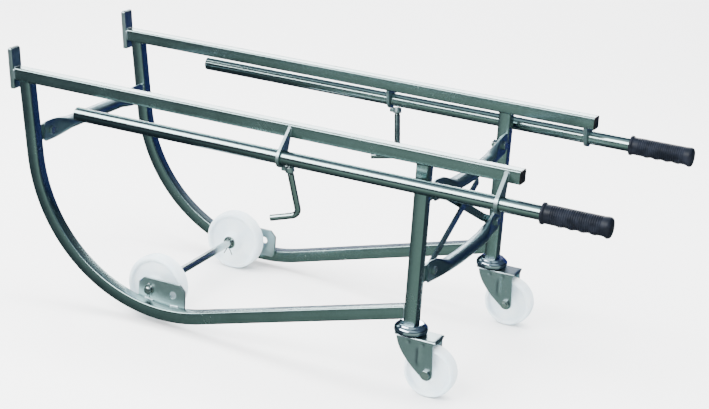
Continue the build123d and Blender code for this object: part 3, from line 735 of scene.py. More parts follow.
def keep(node: str, finish: str) -> None:
    """Leave a CAD node in place and give it a finish."""
    dress(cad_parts[node], finish)
    LOG.info("%s keeps its CAD mesh", node)


@dataclass(frozen=True)
class WeldBead:
    """How a rippled weld bead is laid on the frame."""

    radius: float
    pitch: float = 3.4
    ripple: float = 0.14
    roughness: float = 0.05
    steps_per_ripple: int = 5
    fewest_steps: int = 14
    blunt: float = 0.04

    def lay(self, name: str, start: Sequence[float], end: Sequence[float], facing: Sequence[float],
            seed: int) -> bpy.types.Object:
        """Lay the bead between two points.

        A round section is carried along the line. Its radius is multiplied by
        1 + ripple * |sin(pi * distance / pitch)| + seeded noise, and drawn in to the ends by the root
        of the distance to the end over the radius.

        Args:
            name: The piece's name.
            start: First end, in millimetres.
            end: Second end.
            facing: Direction out of the corner.
            seed: For the noise.

        Returns:
            The bead.
        """
        start, end, facing = (np.array(value, float) for value in (start, end, facing))
        length = np.linalg.norm(end - start)
        steps = max(self.fewest_steps, int(length / self.pitch * self.steps_per_ripple))
        share = np.linspace(0, 1, steps)
        noise = np.random.default_rng(seed).normal(0, self.roughness, steps)
        swell = 1 + self.ripple * np.abs(np.sin(pi * share * length / self.pitch)) + noise
        taper = np.minimum(1, np.sqrt(np.minimum(share, 1 - share) * length / self.radius + self.blunt))
        path = start + share[:, None] * (end - start)
        along = (end - start) / length
        out = unit(facing - (facing @ along) * along)
        grid = carry(ring(self.radius, 12), path, np.cross(along, out), (swell * taper)[:, None])
        return fit(skin(name, [capped(grid)], sharp=80), "weld", "frame")


def thread(origin: Sequence[float], axis: np.ndarray, radius: float, length: float,
           pitch: float) -> np.ndarray:
    """Screw thread's grid.

    Radius = crest radius - depth * |2 f - 1|, where f is the fraction of a turn along and round the
    bar and the depth is 0.55 of the pitch.

    Args:
        origin: Start on the axis.
        axis: Its unit vector.
        radius: Crest radius.
        length: Threaded length.
        pitch: Thread pitch.

    Returns:
        Grid of points, open at both ends.
    """
    rows_per_turn, columns, depth_share = 6, 32, 0.55
    rows = int(length / pitch * rows_per_turn) + 1
    profile = np.stack((np.linspace(0, length, rows), np.full(rows, radius)), axis=1)
    grid = turned(profile, origin, axis, columns)
    phase = profile[:, :1] / pitch + np.arange(columns)[None, :] / columns
    depth = depth_share * pitch * np.abs(2 * (phase % 1) - 1)
    centre = np.asarray(origin, float) + profile[:, None, :1] * axis
    return centre + (grid - centre) * ((radius - depth) / radius)[..., None]


# Side frames -----------------------------------------------------------------------------------


@dataclass
class SideFrame:
    """One side's rail, lug, bow, post, plates and welds."""

    side: Side
    tube: float = 25.0
    corner: float = 3.0
    lug_lean: float = 6.0
    bow_lean: float = 8.0
    bow_radius: float = 315.0
    bow_set_back: float = 11.0
    bow_over_foot: float = 7.0
    bend_steps: int = 72
    plate_edge: float = 0.6
    lug_edge: float = 1.6
    rear_guide_edge: float = 0.9
    plug_edge: float = 0.8
    weld_size: float = 2.4
    bow_weld: float = 2.8
    lug_weld: float = 2.2
    plate_weld: float = 2.0
    guide_weld: float = 1.9
    side_weld: float = 1.6
    weld_short: float = 2.0
    lug_weld_lean: float = 0.4
    lug_top_set: float = 1.0
    guide_weld_foot: float = 3.0
    plate_weld_length: float = 22.0
    plate_weld_front: float = 14.0
    plate_weld_rear: float = 34.0

    def __post_init__(self) -> None:
        """Read this side's places from the frame and work out the bow's line."""
        self.name = self.side.label
        self.out = float(self.side.value)
        self.rail_low, self.rail_high = span(f"{self.name}_top_rail")
        self.post_low, self.post_high = span(f"{self.name}_rear_post")
        self.y = (self.rail_low[1] + self.rail_high[1]) / 2
        self.y_out = self.y + self.out * self.tube / 2
        self.y_in = self.y - self.out * self.tube / 2
        self.rail_under = self.rail_low[2]
        self.front_x = self.rail_low[0] + self.tube / 2 * tan(radians(self.lug_lean))
        self.section = rounded_square(self.tube, self.corner)
        self.path, self.rise = self.bow_path()

    def build(self) -> None:
        """Build every piece of this side frame."""
        self.rail()
        self.bow()
        self.post()
        for part, width in (("toe_lug", self.lug_edge), ("axle_bracket", self.plate_edge),
                            ("mid_guide", self.plate_edge), ("rear_guide", self.rear_guide_edge)):
            finished_copy(f"{self.name}_{part}", "flat", "frame", width)
        finished_copy(f"{self.name}_rail_end_plug", "plastic", "frame", self.plug_edge)
        self.welds()

    def rail(self) -> None:
        """Straight tube: the square section carried along x, its front end cut to the lug's lean."""
        stations = np.array((0.0, 0.04, 0.3, 0.6, 0.96, 1.0))
        path = np.zeros((len(stations), 3))
        path[:, 0] = self.front_x + stations * (self.rail_high[0] - self.front_x)
        path[:, 1:] = self.y, (self.rail_low[2] + self.rail_high[2]) / 2
        grid = carry(self.section, path, Y_AXIS)
        lean = radians(self.lug_lean)
        cut_to(grid, 0, X_AXIS, path[0], np.array((cos(lean), 0.0, sin(lean))))
        fit(skin(f"{self.name}_rail_tube", [capped(grid)]), "frame", "frame", f"{self.name}_top_rail")

    def bow_path(self) -> tuple[np.ndarray, float]:
        """Middle line of the bow: leaning leg, arc, and the tangent run up to the post.

        The arc's centre stands so that the outer arc touches the bow's lowest level and the leg is
        tangent to the arc. The run's rise is the angle of the post's foot seen from the centre plus
        the arc sine of the outer radius over that distance.

        Returns:
            Points (n, 3), and the angle by which the run rises.
        """
        lean, outer = radians(self.bow_lean), self.bow_radius + self.tube / 2
        down = np.array((sin(lean), -cos(lean)))
        top = np.array((self.front_x + self.bow_set_back + self.tube / 2 / cos(lean), self.rail_under))
        centre_z = span(f"{self.name}_bow_tube")[0][2] + outer
        leg = (top[1] - centre_z + self.bow_radius * sin(lean)) / cos(lean)
        centre = np.array(((top + leg * down)[0] + self.bow_radius * cos(lean), centre_z))
        foot = np.array((self.post_low[0], self.post_low[2] + self.bow_over_foot)) - centre
        rise = atan2(foot[1], foot[0]) + asin(outer / hypot(*foot))
        turn = np.linspace(lean + pi, 1.5 * pi + rise, self.bend_steps)
        arc = centre + self.bow_radius * np.stack((np.cos(turn), np.sin(turn)), axis=1)
        end_x = self.post_low[0]
        end = np.array((end_x, arc[-1, 1] + (end_x - arc[-1, 0]) * tan(rise)))
        line = np.concatenate((top[None], arc, end[None]))
        return np.stack((line[:, 0], np.full(len(line), self.y), line[:, 1]), axis=1), rise

    def bow(self) -> None:
        """Bent tube carried along the bow's line, cut level under the rail and upright at the post."""
        grid = carry(self.section, self.path, Y_AXIS)
        cut_to(grid, 0, unit(self.path[1] - self.path[0]), self.path[0], Z_AXIS)
        cut_to(grid, -1, unit(self.path[-1] - self.path[-2]), self.path[-1], X_AXIS)
        fit(skin(f"{self.name}_bow", [capped(grid)]), "frame", "frame", f"{self.name}_bow_tube")

    def post(self) -> None:
        """Upright tube between rail and caster: the square section carried along z."""
        path = np.tile((self.post_low + self.post_high) / 2, (3, 1))
        path[:, 2] = np.linspace(self.post_low[2], self.post_high[2], 3)
        grid = carry(self.section, path, Y_AXIS)
        fit(skin(f"{self.name}_post", [capped(grid)]), "frame", "frame", f"{self.name}_rear_post")

    def weld(self, tag: str, start: Sequence[float], end: Sequence[float], facing: Sequence[float],
             radius: float) -> None:
        """One bead of this side, seeded by the letters of its tag.

        Args:
            tag: Last part of its name.
            start: First end.
            end: Second end.
            facing: Direction out of the corner.
            radius: Bead radius.
        """
        WeldBead(radius).lay(f"{self.name}_weld_{tag}", start, end, facing, seed=sum(map(ord, tag)))

    def weld_across(self, tag: str, x: float, z: float, facing: Sequence[float], radius: float) -> None:
        """One bead along y, as long as the flat of the tube.

        Args:
            tag: Last part of its name.
            x: Its place along the truck.
            z: Its height.
            facing: Direction out of the corner.
            radius: Bead radius.
        """
        half = self.tube / 2 - self.corner
        self.weld(tag, (x, self.y - half, z), (x, self.y + half, z), facing, radius)

    def welds(self) -> None:
        """Beads where the pieces of this frame meet."""
        under, top, lug_x = self.rail_under, self.rail_high[2], self.front_x
        for tag, y, face in (("lug_out", self.y_out, self.out), ("lug_in", self.y_in, -self.out)):
            self.weld(tag, (lug_x + self.weld_short, y, under + self.weld_short),
                      (lug_x - self.lug_weld_lean, y, top - self.weld_short), (1, face, 0), self.lug_weld)
        self.weld_across("lug_top", lug_x - self.lug_top_set, top, (1, 0, 1), self.lug_weld)
        bow_x, half = self.path[0, 0], self.tube / 2
        self.weld_across("bow_front", bow_x - half, under, (-1, 0, -1), self.bow_weld)
        self.weld_across("bow_back", bow_x + half, under, (1, 0, -1), self.bow_weld)
        front_x, back_x = self.post_low[0], self.post_high[0]
        self.weld_across("post_front", front_x, under, (-1, 0, -1), self.weld_size)
        self.weld_across("post_back", back_x, under, (1, 0, -1), self.weld_size)
        run_z, half_cut = self.path[-1, 2], self.tube / 2 / cos(self.rise)
        self.weld_across("run_top", front_x, run_z + half_cut, (-1, 0, 1), self.weld_size)
        self.weld_across("run_low", front_x, run_z - half_cut, (-1, 0, -1), self.weld_size)
        self.weld("run_side", (front_x, self.y_out, run_z - half_cut + self.weld_short),
                  (front_x, self.y_out, run_z + half_cut - self.weld_short), (-1, self.out, 0),
                  self.side_weld)
        self.guide_welds()
        self.plate_welds()

    def guide_welds(self) -> None:
        """Upright beads between the guide plates and the rail's outer face."""
        foot = self.rail_under + self.guide_weld_foot
        for part in ("mid_guide", "rear_guide"):
            low, high = span(f"{self.name}_{part}")
            for tag, x, way in (("front", low[0], -1), ("back", high[0], 1)):
                self.weld(f"{part}_{tag}", (x, self.y_out, foot), (x, self.y_out, high[2] - self.weld_short),
                          (way, self.out, 0), self.guide_weld)

    def plate_welds(self) -> None:
        """Two beads along the top of the bow that hold the axle bracket, following the bow's line."""
        low, high = span(f"{self.name}_axle_bracket")
        top_line = self.path[:, 2] + self.tube / 2
        for tag, x in (("plate_front", low[0] + self.plate_weld_front),
                       ("plate_rear", high[0] - self.plate_weld_rear)):
            ends = np.array((x, x + self.plate_weld_length))
            z = np.interp(ends, self.path[:, 0], top_line)
            self.weld(tag, (ends[0], self.y_in, z[0]), (ends[1], self.y_in, z[1]), (0, -self.out, 1),
                      self.plate_weld)


# Handles and clamps ----------------------------------------------------------------------------


@dataclass
class Handle:
    """A pull-out handle tube, and the clamp that holds it."""

    side: Side
    wall: float = 2.0
    inside_depth: float = 60.0
    screw_lean: tuple[float, float] = (0.17, 0.20)
    screw_radius: float = 6.0
    screw_behind_guide: float = 10.0
    screw_tip: float = 15.0
    thread_length: float = 16.5
    thread_pitch: float = 1.75
    thread_overlap: float = 0.5
    screw_elbow: float = 116.0
    leg: float = 55.0
    leg_end: tuple[tuple[float, float], ...] = ((1.2, 1.0), (0.4, 0.96), (0.0, 0.86))
    bend: float = 13.0
    turns: tuple[float, float] = (-20.0, 24.0)
    boss_span: tuple[float, float] = (16.0, 27.0)
    boss_radius: float = 8.6
    boss_play: float = 0.15
    boss_block: float = 9.0
    block_corner: float = 1.2
    block_overlap: float = 0.5
    block_short: float = 0.6
    boss_weld: float = 1.5
    boss_weld_half: float = 4.0

    def __post_init__(self) -> None:
        """Read the tube's line from the frame."""
        self.name = self.side.label
        self.low, self.high = span(f"{self.name}_handle_tube")
        self.axis = (self.low + self.high) / 2
        self.radius = (self.high[2] - self.low[2]) / 2
        self.body = f"{self.name}_handle"
        self.turn = self.turns[0] if self.side is Side.LEFT else self.turns[1]

    def build(self) -> None:
        """Build tube, grip, clamp screw and boss."""
        self.tube()
        Grip(self.side, self.radius, self.axis).build()
        self.crank()
        self.boss()

    def screw_line(self) -> tuple[np.ndarray, np.ndarray, float]:
        """Where the clamp screw stands.

        Returns:
            Start and direction of the screw's axis, and the rear face of the guide plate.
        """
        back, inward = self.screw_lean
        shank = unit(np.array((back, -self.side.value * inward, -1.0)))
        guide = span(f"{self.name}_mid_guide")[1][0]
        return np.array((guide + self.screw_behind_guide, self.axis[1], self.axis[2])), shank, guide

    def boss(self) -> None:
        """Round threaded boss under the tube, with a block that joins it to the guide plate."""
        start, shank, guide = self.screw_line()
        low, high = self.boss_span
        bore, outer = self.screw_radius + self.boss_play, self.boss_radius
        outline = [(low, bore, 0), (low, outer, 0.8), (high, outer, 1.6), (high, bore, 0.6), (low, bore, 0)]
        barrel = turned(softened(outline), start, shank, 48)
        middle = start + shank * (low + high) / 2
        y, z = middle[1:]
        block_end = middle[0] - bore - self.block_short
        path = np.array([(guide, y, z), (guide + self.block_overlap, y, z), (block_end, y, z)])
        block = carry(rounded_square(self.boss_block, self.block_corner), path, Y_AXIS)
        piece = skin(f"{self.name}_screw_boss", [barrel, capped(block)], sharp=40)
        fit(piece, "flat", "frame", f"{self.name}_clamp_boss")
        bead, half = WeldBead(self.boss_weld), self.boss_weld_half
        for tag, way, seed in (("a", -1, 10), ("b", 1, 12)):
            edge = y + way * self.boss_block / 2
            bead.lay(f"{self.name}_weld_boss_{tag}", (guide, edge, z + half), (guide, edge, z - half),
                     (1, way, 0), seed)

    def tube(self) -> None:
        """Turned tube with a broken edge at its open front end."""
        length, r, bore = self.high[0] - self.low[0], self.radius, self.radius - self.wall
        outline = [(self.inside_depth, 0, 0), (self.inside_depth, bore, 1), (0, bore, 0.7), (0, r, 0.7),
                   (length / 2, r, 0), (length, r, 1), (length, 0, 0)]
        origin = (self.low[0], self.axis[1], self.axis[2])
        piece = skin(f"{self.name}_handle_bar", [turned(softened(outline), origin, X_AXIS, 72)])
        fit(piece, "tube", self.body, f"{self.name}_handle_tube")

    def crank(self) -> None:
        """Clamp screw: threaded shank, tight quarter-circle bend and the leg that turns it."""
        start, shank, _ = self.screw_line()
        forward = unit(-X_AXIS - (-X_AXIS @ shank) * shank)
        aside = np.cross(shank, forward) * -float(self.side.value)
        turn = radians(self.turn)
        leg = forward * cos(turn) + aside * sin(turn)
        elbow = start + shank * self.screw_elbow
        arc = np.linspace(0, pi / 2, 16)[:, None]
        centre = elbow - shank * self.bend + leg * self.bend
        curve = centre - leg * self.bend * np.cos(arc) + shank * self.bend * np.sin(arc)
        plain = self.screw_tip + self.thread_length - self.thread_overlap
        upper = start + shank * np.array((plain, plain + self.screw_radius))[:, None]
        short, share = np.array(self.leg_end).T
        end = elbow + leg * (self.leg - short)[:, None]
        path = np.concatenate((upper, curve, end))
        scale = np.ones((len(path), 1))
        scale[-len(share):, 0] = share
        bar = carry(ring(self.screw_radius, 40), path, np.cross(shank, leg), scale)
        screw = thread(start + shank * self.screw_tip, shank, self.screw_radius, self.thread_length,
                       self.thread_pitch)
        piece = skin(f"{self.name}_clamp_screw", [capped(bar), capped(screw)], sharp=40)
        fit(piece, "bar", f"{self.name}_clamp", f"{self.name}_clamp_crank")


@dataclass
class Grip:
    """Rubber grip pushed over the rear end of a handle tube."""

    side: Side
    tube_radius: float
    axis: np.ndarray
    wall: float = 3.9
    flange: float = 2.3
    flange_width: float = 5.2
    rib: float = 0.55
    rib_pitch: float = 4.1
    rib_start: float = 17.0
    rib_stop: float = 16.0
    wave: float = 1.0
    wave_base: float = 0.6
    wave_pitch: float = 21.0
    wave_crest: float = 34.0
    wave_start: float = 30.0
    wave_stop: float = 22.0
    knob: float = 0.9
    knob_length: float = 13.0
    lip: float = 2.2
    lip_length: float = 9.0
    end_start: float = 6.0
    end_reach: float = 6.2
    end_share: float = 0.25
    mouth_step: float = 0.4
    mouth_edge: float = 0.6
    plug_depth: float = 20.0
    below: float = 1.5

    def outline(self, x: np.ndarray, length: float) -> tuple[np.ndarray, np.ndarray, np.ndarray]:
        """Radius of the grip along its length.

        Above, it is base + flange + ribs + knob. Below, finger waves and a lip are added. Flange,
        ribs, waves, knob and lip are each faded in or out by soft steps, and the whole is multiplied
        by a quarter circle that closes the end.

        Args:
            x: Places along the grip.
            length: Its length.

        Returns:
            The radius above, what is added below, and the closing factor.
        """
        flange = self.flange * logistic(x, self.flange_width, -2.4)
        ribbed = logistic(x, self.rib_start, 1.2) * logistic(x, length - self.rib_stop, -1.2)
        ribs = self.rib * np.sin(2 * pi * x / self.rib_pitch) * ribbed
        held = logistic(x, self.wave_start, 0.5) * logistic(x, length - self.wave_stop, -0.5)
        phase = 2 * pi * (x - self.wave_crest) / self.wave_pitch
        waves = (self.wave_base + self.wave * np.cos(phase)) * held
        knob = self.knob * logistic(x, length - self.knob_length, 0.6)
        lip = self.lip * logistic(x, length - self.lip_length, 1.0)
        into_end = (x - length + self.end_start).clip(0) / self.end_reach
        close = np.sqrt(np.clip(1 - into_end ** 2, 0, 1)) * self.end_share + 1 - self.end_share
        return self.tube_radius + self.wall + flange + ribs + knob, waves + lip, close

    def build(self) -> None:
        """Turn the outline about the handle's axis, with its lower part faded in as -sin^below."""
        low, high = span(f"{self.side.label}_handle_grip")
        length = high[0] - low[0]
        middle = np.linspace(self.mouth_step, length - self.mouth_step, 300)
        x = np.concatenate(([0.0, 0.0], middle, [length, length]))
        turn = np.arange(96) * 2 * pi / 96
        down = np.clip(-np.sin(turn), 0, 1)[None, :] ** self.below
        above, added, close = self.outline(x, length)
        radius = (above[:, None] + added[:, None] * down) * close[:, None]
        radius[0], radius[-1] = self.tube_radius, 0.0
        radius[1] -= self.mouth_edge
        grid = np.stack((np.broadcast_to(low[0] + x[:, None], radius.shape),
                         self.axis[1] + radius * np.cos(turn), self.axis[2] + radius * np.sin(turn)), axis=2)
        plug = np.broadcast_to((low[0] + self.plug_depth, self.axis[1], self.axis[2]), grid[:1].shape)
        piece = skin(f"{self.side.label}_grip", [np.concatenate((plug, grid))], sharp=50)
        fit(piece, "rubber", f"{self.side.label}_handle", f"{self.side.label}_handle_grip")


# Wheels ----------------------------------------------------------------------------------------


def wheel_profile(radius: float, width: float, rim: float, web: float, hub: float, hub_length: float,
                  bore: float) -> np.ndarray:
    """Half section of a moulded wheel, from bore face to bore face.

    Args:
        radius: Tread radius.
        width: Tread width.
        rim: Rim depth below the tread.
        web: Thickness of the disc.
        hub: Hub radius.
        hub_length: Hub length.
        bore: Bore radius.

    Returns:
        Rounded profile of (along, radius) points that ends where it starts.
    """
    inner = radius - rim
    half = [(hub_length / 2, bore, 0.8),
            (hub_length / 2, hub - 3.5, 1.2),
            (hub_length / 2 - 4, hub - 1.0, 1.5),
            (web / 2 + 2, hub + 3, 6.0),
            (web / 2, hub + 9, 6.0),
            (web / 2, inner - 2.5, 3.0),
            (width / 2 - 1.6, inner + 0.5, 2.0),
            (width / 2, inner + 2.5, 2.0),
            (width / 2, radius - 3.0, 3.0),
            (width / 2 - 5.0, radius, 6.0)]
    other = [(-along, r, rounding) for along, r, rounding in reversed(half)]
    return softened(half + other + half[:1], steps=6)


@dataclass
class FrontWheels:
    """Both plain front wheels with their axle, washers and split pins."""

    tread: float = 32.0
    rim: float = 9.5
    web: float = 18.0
    hub: float = 17.0
    bore_play: float = 0.06
    axle_chamfer: float = 1.2
    washer: float = 13.5
    outer_washer: float = 10.5
    washer_thick: float = 2.5
    washer_play: float = 0.4
    wire: float = 1.1
    eye: float = 3.0
    eye_open: float = 22.0
    eye_lift: float = 0.6
    wire_room: float = 1.05
    leg_drop: float = 1.5
    knee: tuple[float, float] = (0.45, 0.42)
    outer_set: float = 1.5
    outer_flare: float = 3.0
    outer_legs: float = 6.0
    inner_set: float = 2.4
    inner_flare: float = 7.5
    inner_legs: float = 16.0

    def build(self) -> None:
        """Build wheels, axle, washers and pins."""
        axle_low, axle_high = span("front_axle")
        self.axle_mid = (axle_low + axle_high) / 2
        self.axle_radius = (axle_high[2] - axle_low[2]) / 2
        for side in Side:
            self.wheel(side)
        self.axle(axle_low[1], axle_high[1])
        self.washers()
        self.pins()

    def reach(self, node: str) -> np.ndarray:
        """Distances of a node's inner and outer face from the truck's middle plane."""
        return np.sort(np.abs([corner[1] for corner in span(node)]))

    def wheel(self, side: Side) -> None:
        """One nylon wheel, turned about the axle."""
        node = f"{side.label}_front_wheel"
        low, high = span(node)
        profile = wheel_profile((high[2] - low[2]) / 2, self.tread, self.rim, self.web, self.hub,
                                high[1] - low[1], self.axle_radius + self.bore_play)
        piece = skin(f"{side.label}_nylon_wheel", [turned(profile, (low + high) / 2, Y_AXIS, 128)], sharp=45)
        fit(piece, "nylon", f"{side.label}_front_roller", node)

    def axle(self, low: float, high: float) -> None:
        """Round bar with chamfered ends.

        Args:
            low: Its left end.
            high: Its right end.
        """
        r, cut = self.axle_radius, self.axle_chamfer
        profile = [(low, 0), (low, r - cut), (low + cut, r), (0, r),
                   (high - cut, r), (high, r - cut), (high, 0)]
        grid = turned(np.array(profile), (self.axle_mid[0], 0, self.axle_mid[2]), Y_AXIS, 56)
        fit(skin("axle_bar", [grid]), "hardware", "frame", "front_axle")

    def washers(self) -> None:
        """Six flat washers: outside each bracket and on both faces of each hub."""
        grids = []
        bore = self.axle_radius + self.washer_play
        for side in Side:
            sign = side.value
            hub_in, hub_out = self.reach(f"{side.label}_front_wheel")
            plate = self.reach(f"{side.label}_axle_bracket")[1]
            for start, way, outer in ((plate, 1, self.outer_washer), (hub_out, 1, self.washer),
                                      (hub_in, -1, self.washer)):
                end = way * self.washer_thick
                outline = [(0, bore, 0), (0, outer, 0.6), (end, outer, 0.6), (end, bore, 0.3), (0, bore, 0)]
                origin = (self.axle_mid[0], sign * start, self.axle_mid[2])
                grids.append(turned(softened(outline, steps=4) * (sign, 1), origin, Y_AXIS, 56))
        fit(skin("axle_washer_set", grids, sharp=40), "hardware", "frame", "axle_washers")

    def pins(self) -> None:
        """Four split pins through the axle: short legs above the bows, long ones inside the wheels."""
        low, high = span("split_pins")
        grids = []
        for side in Side:
            outer = (low if side is Side.LEFT else high)[1] - side.value * self.outer_set
            hub_in = self.reach(f"{side.label}_front_wheel")[0]
            inner = side.value * (hub_in - self.washer_thick - self.inner_set)
            grids.append(self.pin(outer, self.outer_flare + side.value, self.outer_legs))
            grids.append(self.pin(inner, self.inner_flare + side.value, self.inner_legs))
        fit(skin("split_pin_wires", grids, sharp=60), "hardware", "frame", "split_pins")

    def pin(self, y: float, flare: float, legs: float) -> np.ndarray:
        """Grid of one split pin at a place along the axle.

        The wire's line is a circle, open below, continued by two straight legs that spread past the axle.

        Args:
            y: Place along the axle.
            flare: How far its leg ends spread.
            legs: How far they reach below the axle.

        Returns:
            The capped tube grid.
        """
        x, z, eye = self.axle_mid[0], self.axle_mid[2], self.eye
        gap = self.wire * self.wire_room
        top = z + self.axle_radius + self.eye_lift
        low = z - self.axle_radius - self.leg_drop
        turn = np.linspace(radians(self.eye_open - 90), radians(270 - self.eye_open), 28)
        loop = np.stack((eye * np.cos(turn), top + eye * self.wire_room + eye * np.sin(turn)), axis=1)
        knee = (gap + flare * self.knee[0], low - legs * self.knee[1])
        leg = np.array([(gap + flare, low - legs), knee, (gap, low), (gap, top)])
        line = np.concatenate((leg, loop, leg[::-1] * (-1, 1)))
        path = np.stack((x + line[:, 0], np.full(len(line), y), line[:, 1]), axis=1)
        return capped(carry(ring(self.wire, 12), path, Y_AXIS))


# Casters ---------------------------------------------------------------------------------------


@dataclass
class Caster:
    """Swivel caster under one rear post."""

    side: Side
    sheet: float = 3.0
    sheet_edge: float = 0.7
    bend: float = 4.0
    leg_play: float = 0.5
    foot_radius: float = 12.5
    foot_joint: float = 33.0
    leg_start: float = 2.5
    nose_radius: float = 30.0
    race_height: float = 10.7
    heel: float = 4.0
    flare_height: float = 13.0
    sweep: float = 1.8
    rib_height: float = 1.1
    rib_width: float = 3.4
    rib_place: float = 0.62
    rib_foot: tuple[float, float] = (12.0, 10.0)
    rib_head: tuple[float, float] = (14.0, 8.0)
    dimples: tuple[float, float] = (0.12, 0.74)
    dimple_depth: float = 1.4
    dimple_spread: float = 6.0
    dimple_below: float = 10.0
    lip_bend: float = 3.0
    lip: float = 5.5
    lip_side: float = 0.5
    cup_sheet: float = 2.5
    cup_bore: float = 6.05
    tread: float = 32.0
    rim: float = 8.5
    web: float = 17.0
    hub: float = 15.0
    bush: float = 8.06
    bolt_edge: float = 0.7

    def __post_init__(self) -> None:
        """Read the swivel axis and the wheel's place from the frame."""
        self.name = self.side.label
        self.body = f"{self.name}_swivel"
        self.cup_low, self.cup_high = span(f"{self.name}_caster_cup")
        self.pivot = (self.cup_low + self.cup_high) / 2
        self.fork_high = span(f"{self.name}_caster_fork")[1]
        wheel_low, wheel_high = span(f"{self.name}_caster_wheel")
        self.axle = (wheel_low + wheel_high) / 2
        self.wheel_radius = (wheel_high[2] - wheel_low[2]) / 2
        self.hub_length = wheel_high[1] - wheel_low[1]
        self.top = self.fork_high[2] - self.race_height
        self.half = self.hub_length / 2 + self.leg_play + self.sheet

    def build(self) -> None:
        """Build every piece of the caster."""
        self.cup()
        self.fork()
        self.wheel()
        finished_copy(f"{self.name}_caster_axle_bolt", "hardware", self.body, self.bolt_edge)
        finished_copy(f"{self.name}_caster_axle_nut", "hardware", self.body, self.bolt_edge)
        self.race()
        for part, finish in (("caster_bush", "balls"), ("caster_stem", "hardware"),
                             ("stem_block", "hardware"), ("caster_balls", "balls")):
            keep(f"{self.name}_{part}", finish)

    def about_pivot(self, outline: Sequence[Sequence[float]], steps: int, count: int) -> np.ndarray:
        """Turn a rounded outline about the swivel axis.

        Args:
            outline: Corners as (height, radius, rounding).
            steps: Points in each rounded corner.
            count: Points round the axis.

        Returns:
            Grid of points.
        """
        return turned(softened(outline, steps), (self.pivot[0], self.pivot[1], 0), Z_AXIS, count)

    def cup(self) -> None:
        """Pressed cup: flat top, rolled shoulder, bright upright band and an open inside."""
        radius = (self.cup_high[0] - self.cup_low[0]) / 2
        top, bottom, t, bore = self.cup_high[2], self.cup_low[2], self.cup_sheet, self.cup_bore
        outline = [(top, bore, 0), (top, 23.5, 3.5), (top - 3.6, 26.5, 2.5), (top - 5.4, radius - 2.6, 2.5),
                   (top - 8.4, radius, 4), (bottom + 2.4, radius, 2), (bottom, radius - 1.4, 0.8),
                   (bottom, radius - t, 0.8), (top - 8.0, radius - t, 2), (top - 4.0, 22.5, 2),
                   (top - t, 20.5, 1), (top - t, bore, 0.5), (top, bore, 0)]
        grid = self.about_pivot(outline, 7, 96)
        fit(skin(f"{self.name}_cup", [grid], sharp=40), "bright", "frame", f"{self.name}_caster_cup")

    def race(self) -> None:
        """Raised race on top of the fork, seen in the gap below the cup."""
        high, plate = self.fork_high[2], self.top
        outline = [(high - 3, 6.1, 0), (high, 6.1, 0.5), (high, 21.5, 2.5), (plate + 1.2, 25.4, 2),
                   (plate - 0.5, 27.5, 0.8), (plate - 2.0, 25.0, 2), (high - 3, 19, 2), (high - 3, 6.1, 0)]
        grid = self.about_pivot(outline, 6, 72)
        fit(skin(f"{self.name}_fork_race", [grid], sharp=45), "bright", self.body)

    def fork(self) -> None:
        """Pressed fork of bent sheet: a grid across the U section and from front edge to rear edge.

        Across the section go the rows. Along a row the points stand closer to both edges, as
        (1 - cos) / 2. A wall on the inner side and rounded edges finish the sheet.
        """
        y, z = self.fork_section()
        front, rear = self.fork_edges(np.abs(y), z)
        share = (1 - np.cos(np.linspace(0, pi, 44))) / 2
        x = front[:, None] + (rear - front)[:, None] * share
        outwards = np.sign(y) * (z < self.top - self.bend)
        relief = outwards[:, None] * self.fork_relief(x, z[:, None])
        x, drop = self.fork_lip(x, np.abs(y)[:, None])
        grid = np.stack((x, self.pivot[1] + y[:, None] + relief, z[:, None] - drop), axis=2)
        piece = skin(f"{self.name}_fork", [grid], sharp=50, closed=False)
        wall = piece.modifiers.new("sheet", "SOLIDIFY")
        wall.thickness = self.sheet * MM
        wall.offset = self.inward(piece)
        wall.use_even_offset = True
        bevelled(piece, self.sheet_edge)
        fit(piece, "pressed", self.body, f"{self.name}_caster_fork")

    def fork_section(self) -> tuple[np.ndarray, np.ndarray]:
        """U section of the sheet's outer face, from one leg's foot over the top plate to the other's.

        Up the leg the rows stand at the heights of a quarter circle round the foot, then evenly; the
        corner is a quarter circle and the top plate is flat.

        Returns:
            The y from the middle plane and the z of each row.
        """
        top, half, bend, axle_z = self.top, self.half, self.bend, self.axle[2]
        foot = axle_z - self.foot_radius * np.cos(np.linspace(0, pi / 2, 14))
        legs_z = np.concatenate((foot, np.linspace(axle_z + self.leg_start, top - bend, 26)))
        turn = np.linspace(0, pi / 2, 8)[1:]
        flat_y = np.linspace(half - bend, 0, 14)[1:]
        y = np.concatenate((np.full(len(legs_z), half), half - bend + bend * np.cos(turn), flat_y))
        z = np.concatenate((legs_z, top - bend + bend * np.sin(turn), np.full(len(flat_y), top)))
        return np.concatenate((y, -y[-2::-1])), np.concatenate((z, z[-2::-1]))

    def fork_relief(self, x: np.ndarray, z: np.ndarray) -> np.ndarray:
        """Pressed relief of a leg: a rib as a Gaussian across x, less two round Gaussian dimples.

        Args:
            x: Places along the truck (n, m).
            z: Heights (n, 1).

        Returns:
            How far each point stands out of the leg.
        """
        foot, foot_fade = self.rib_foot
        head, head_fade = self.rib_head
        fade = (np.clip((z - self.axle[2] - foot) / foot_fade, 0, 1)
                * np.clip((self.top - head - z) / head_fade, 0, 1))
        trail = self.axle[0] - self.pivot[0]
        away = (x - self.pivot[0] - trail * self.rib_place) / self.rib_width
        relief = np.exp(-away ** 2) * fade * self.rib_height
        for spot in self.dimples:
            off = (x - self.pivot[0] - trail * spot) ** 2 + (z - self.top + self.dimple_below) ** 2
            relief = relief - self.dimple_depth * np.exp(-off / self.dimple_spread)
        return relief

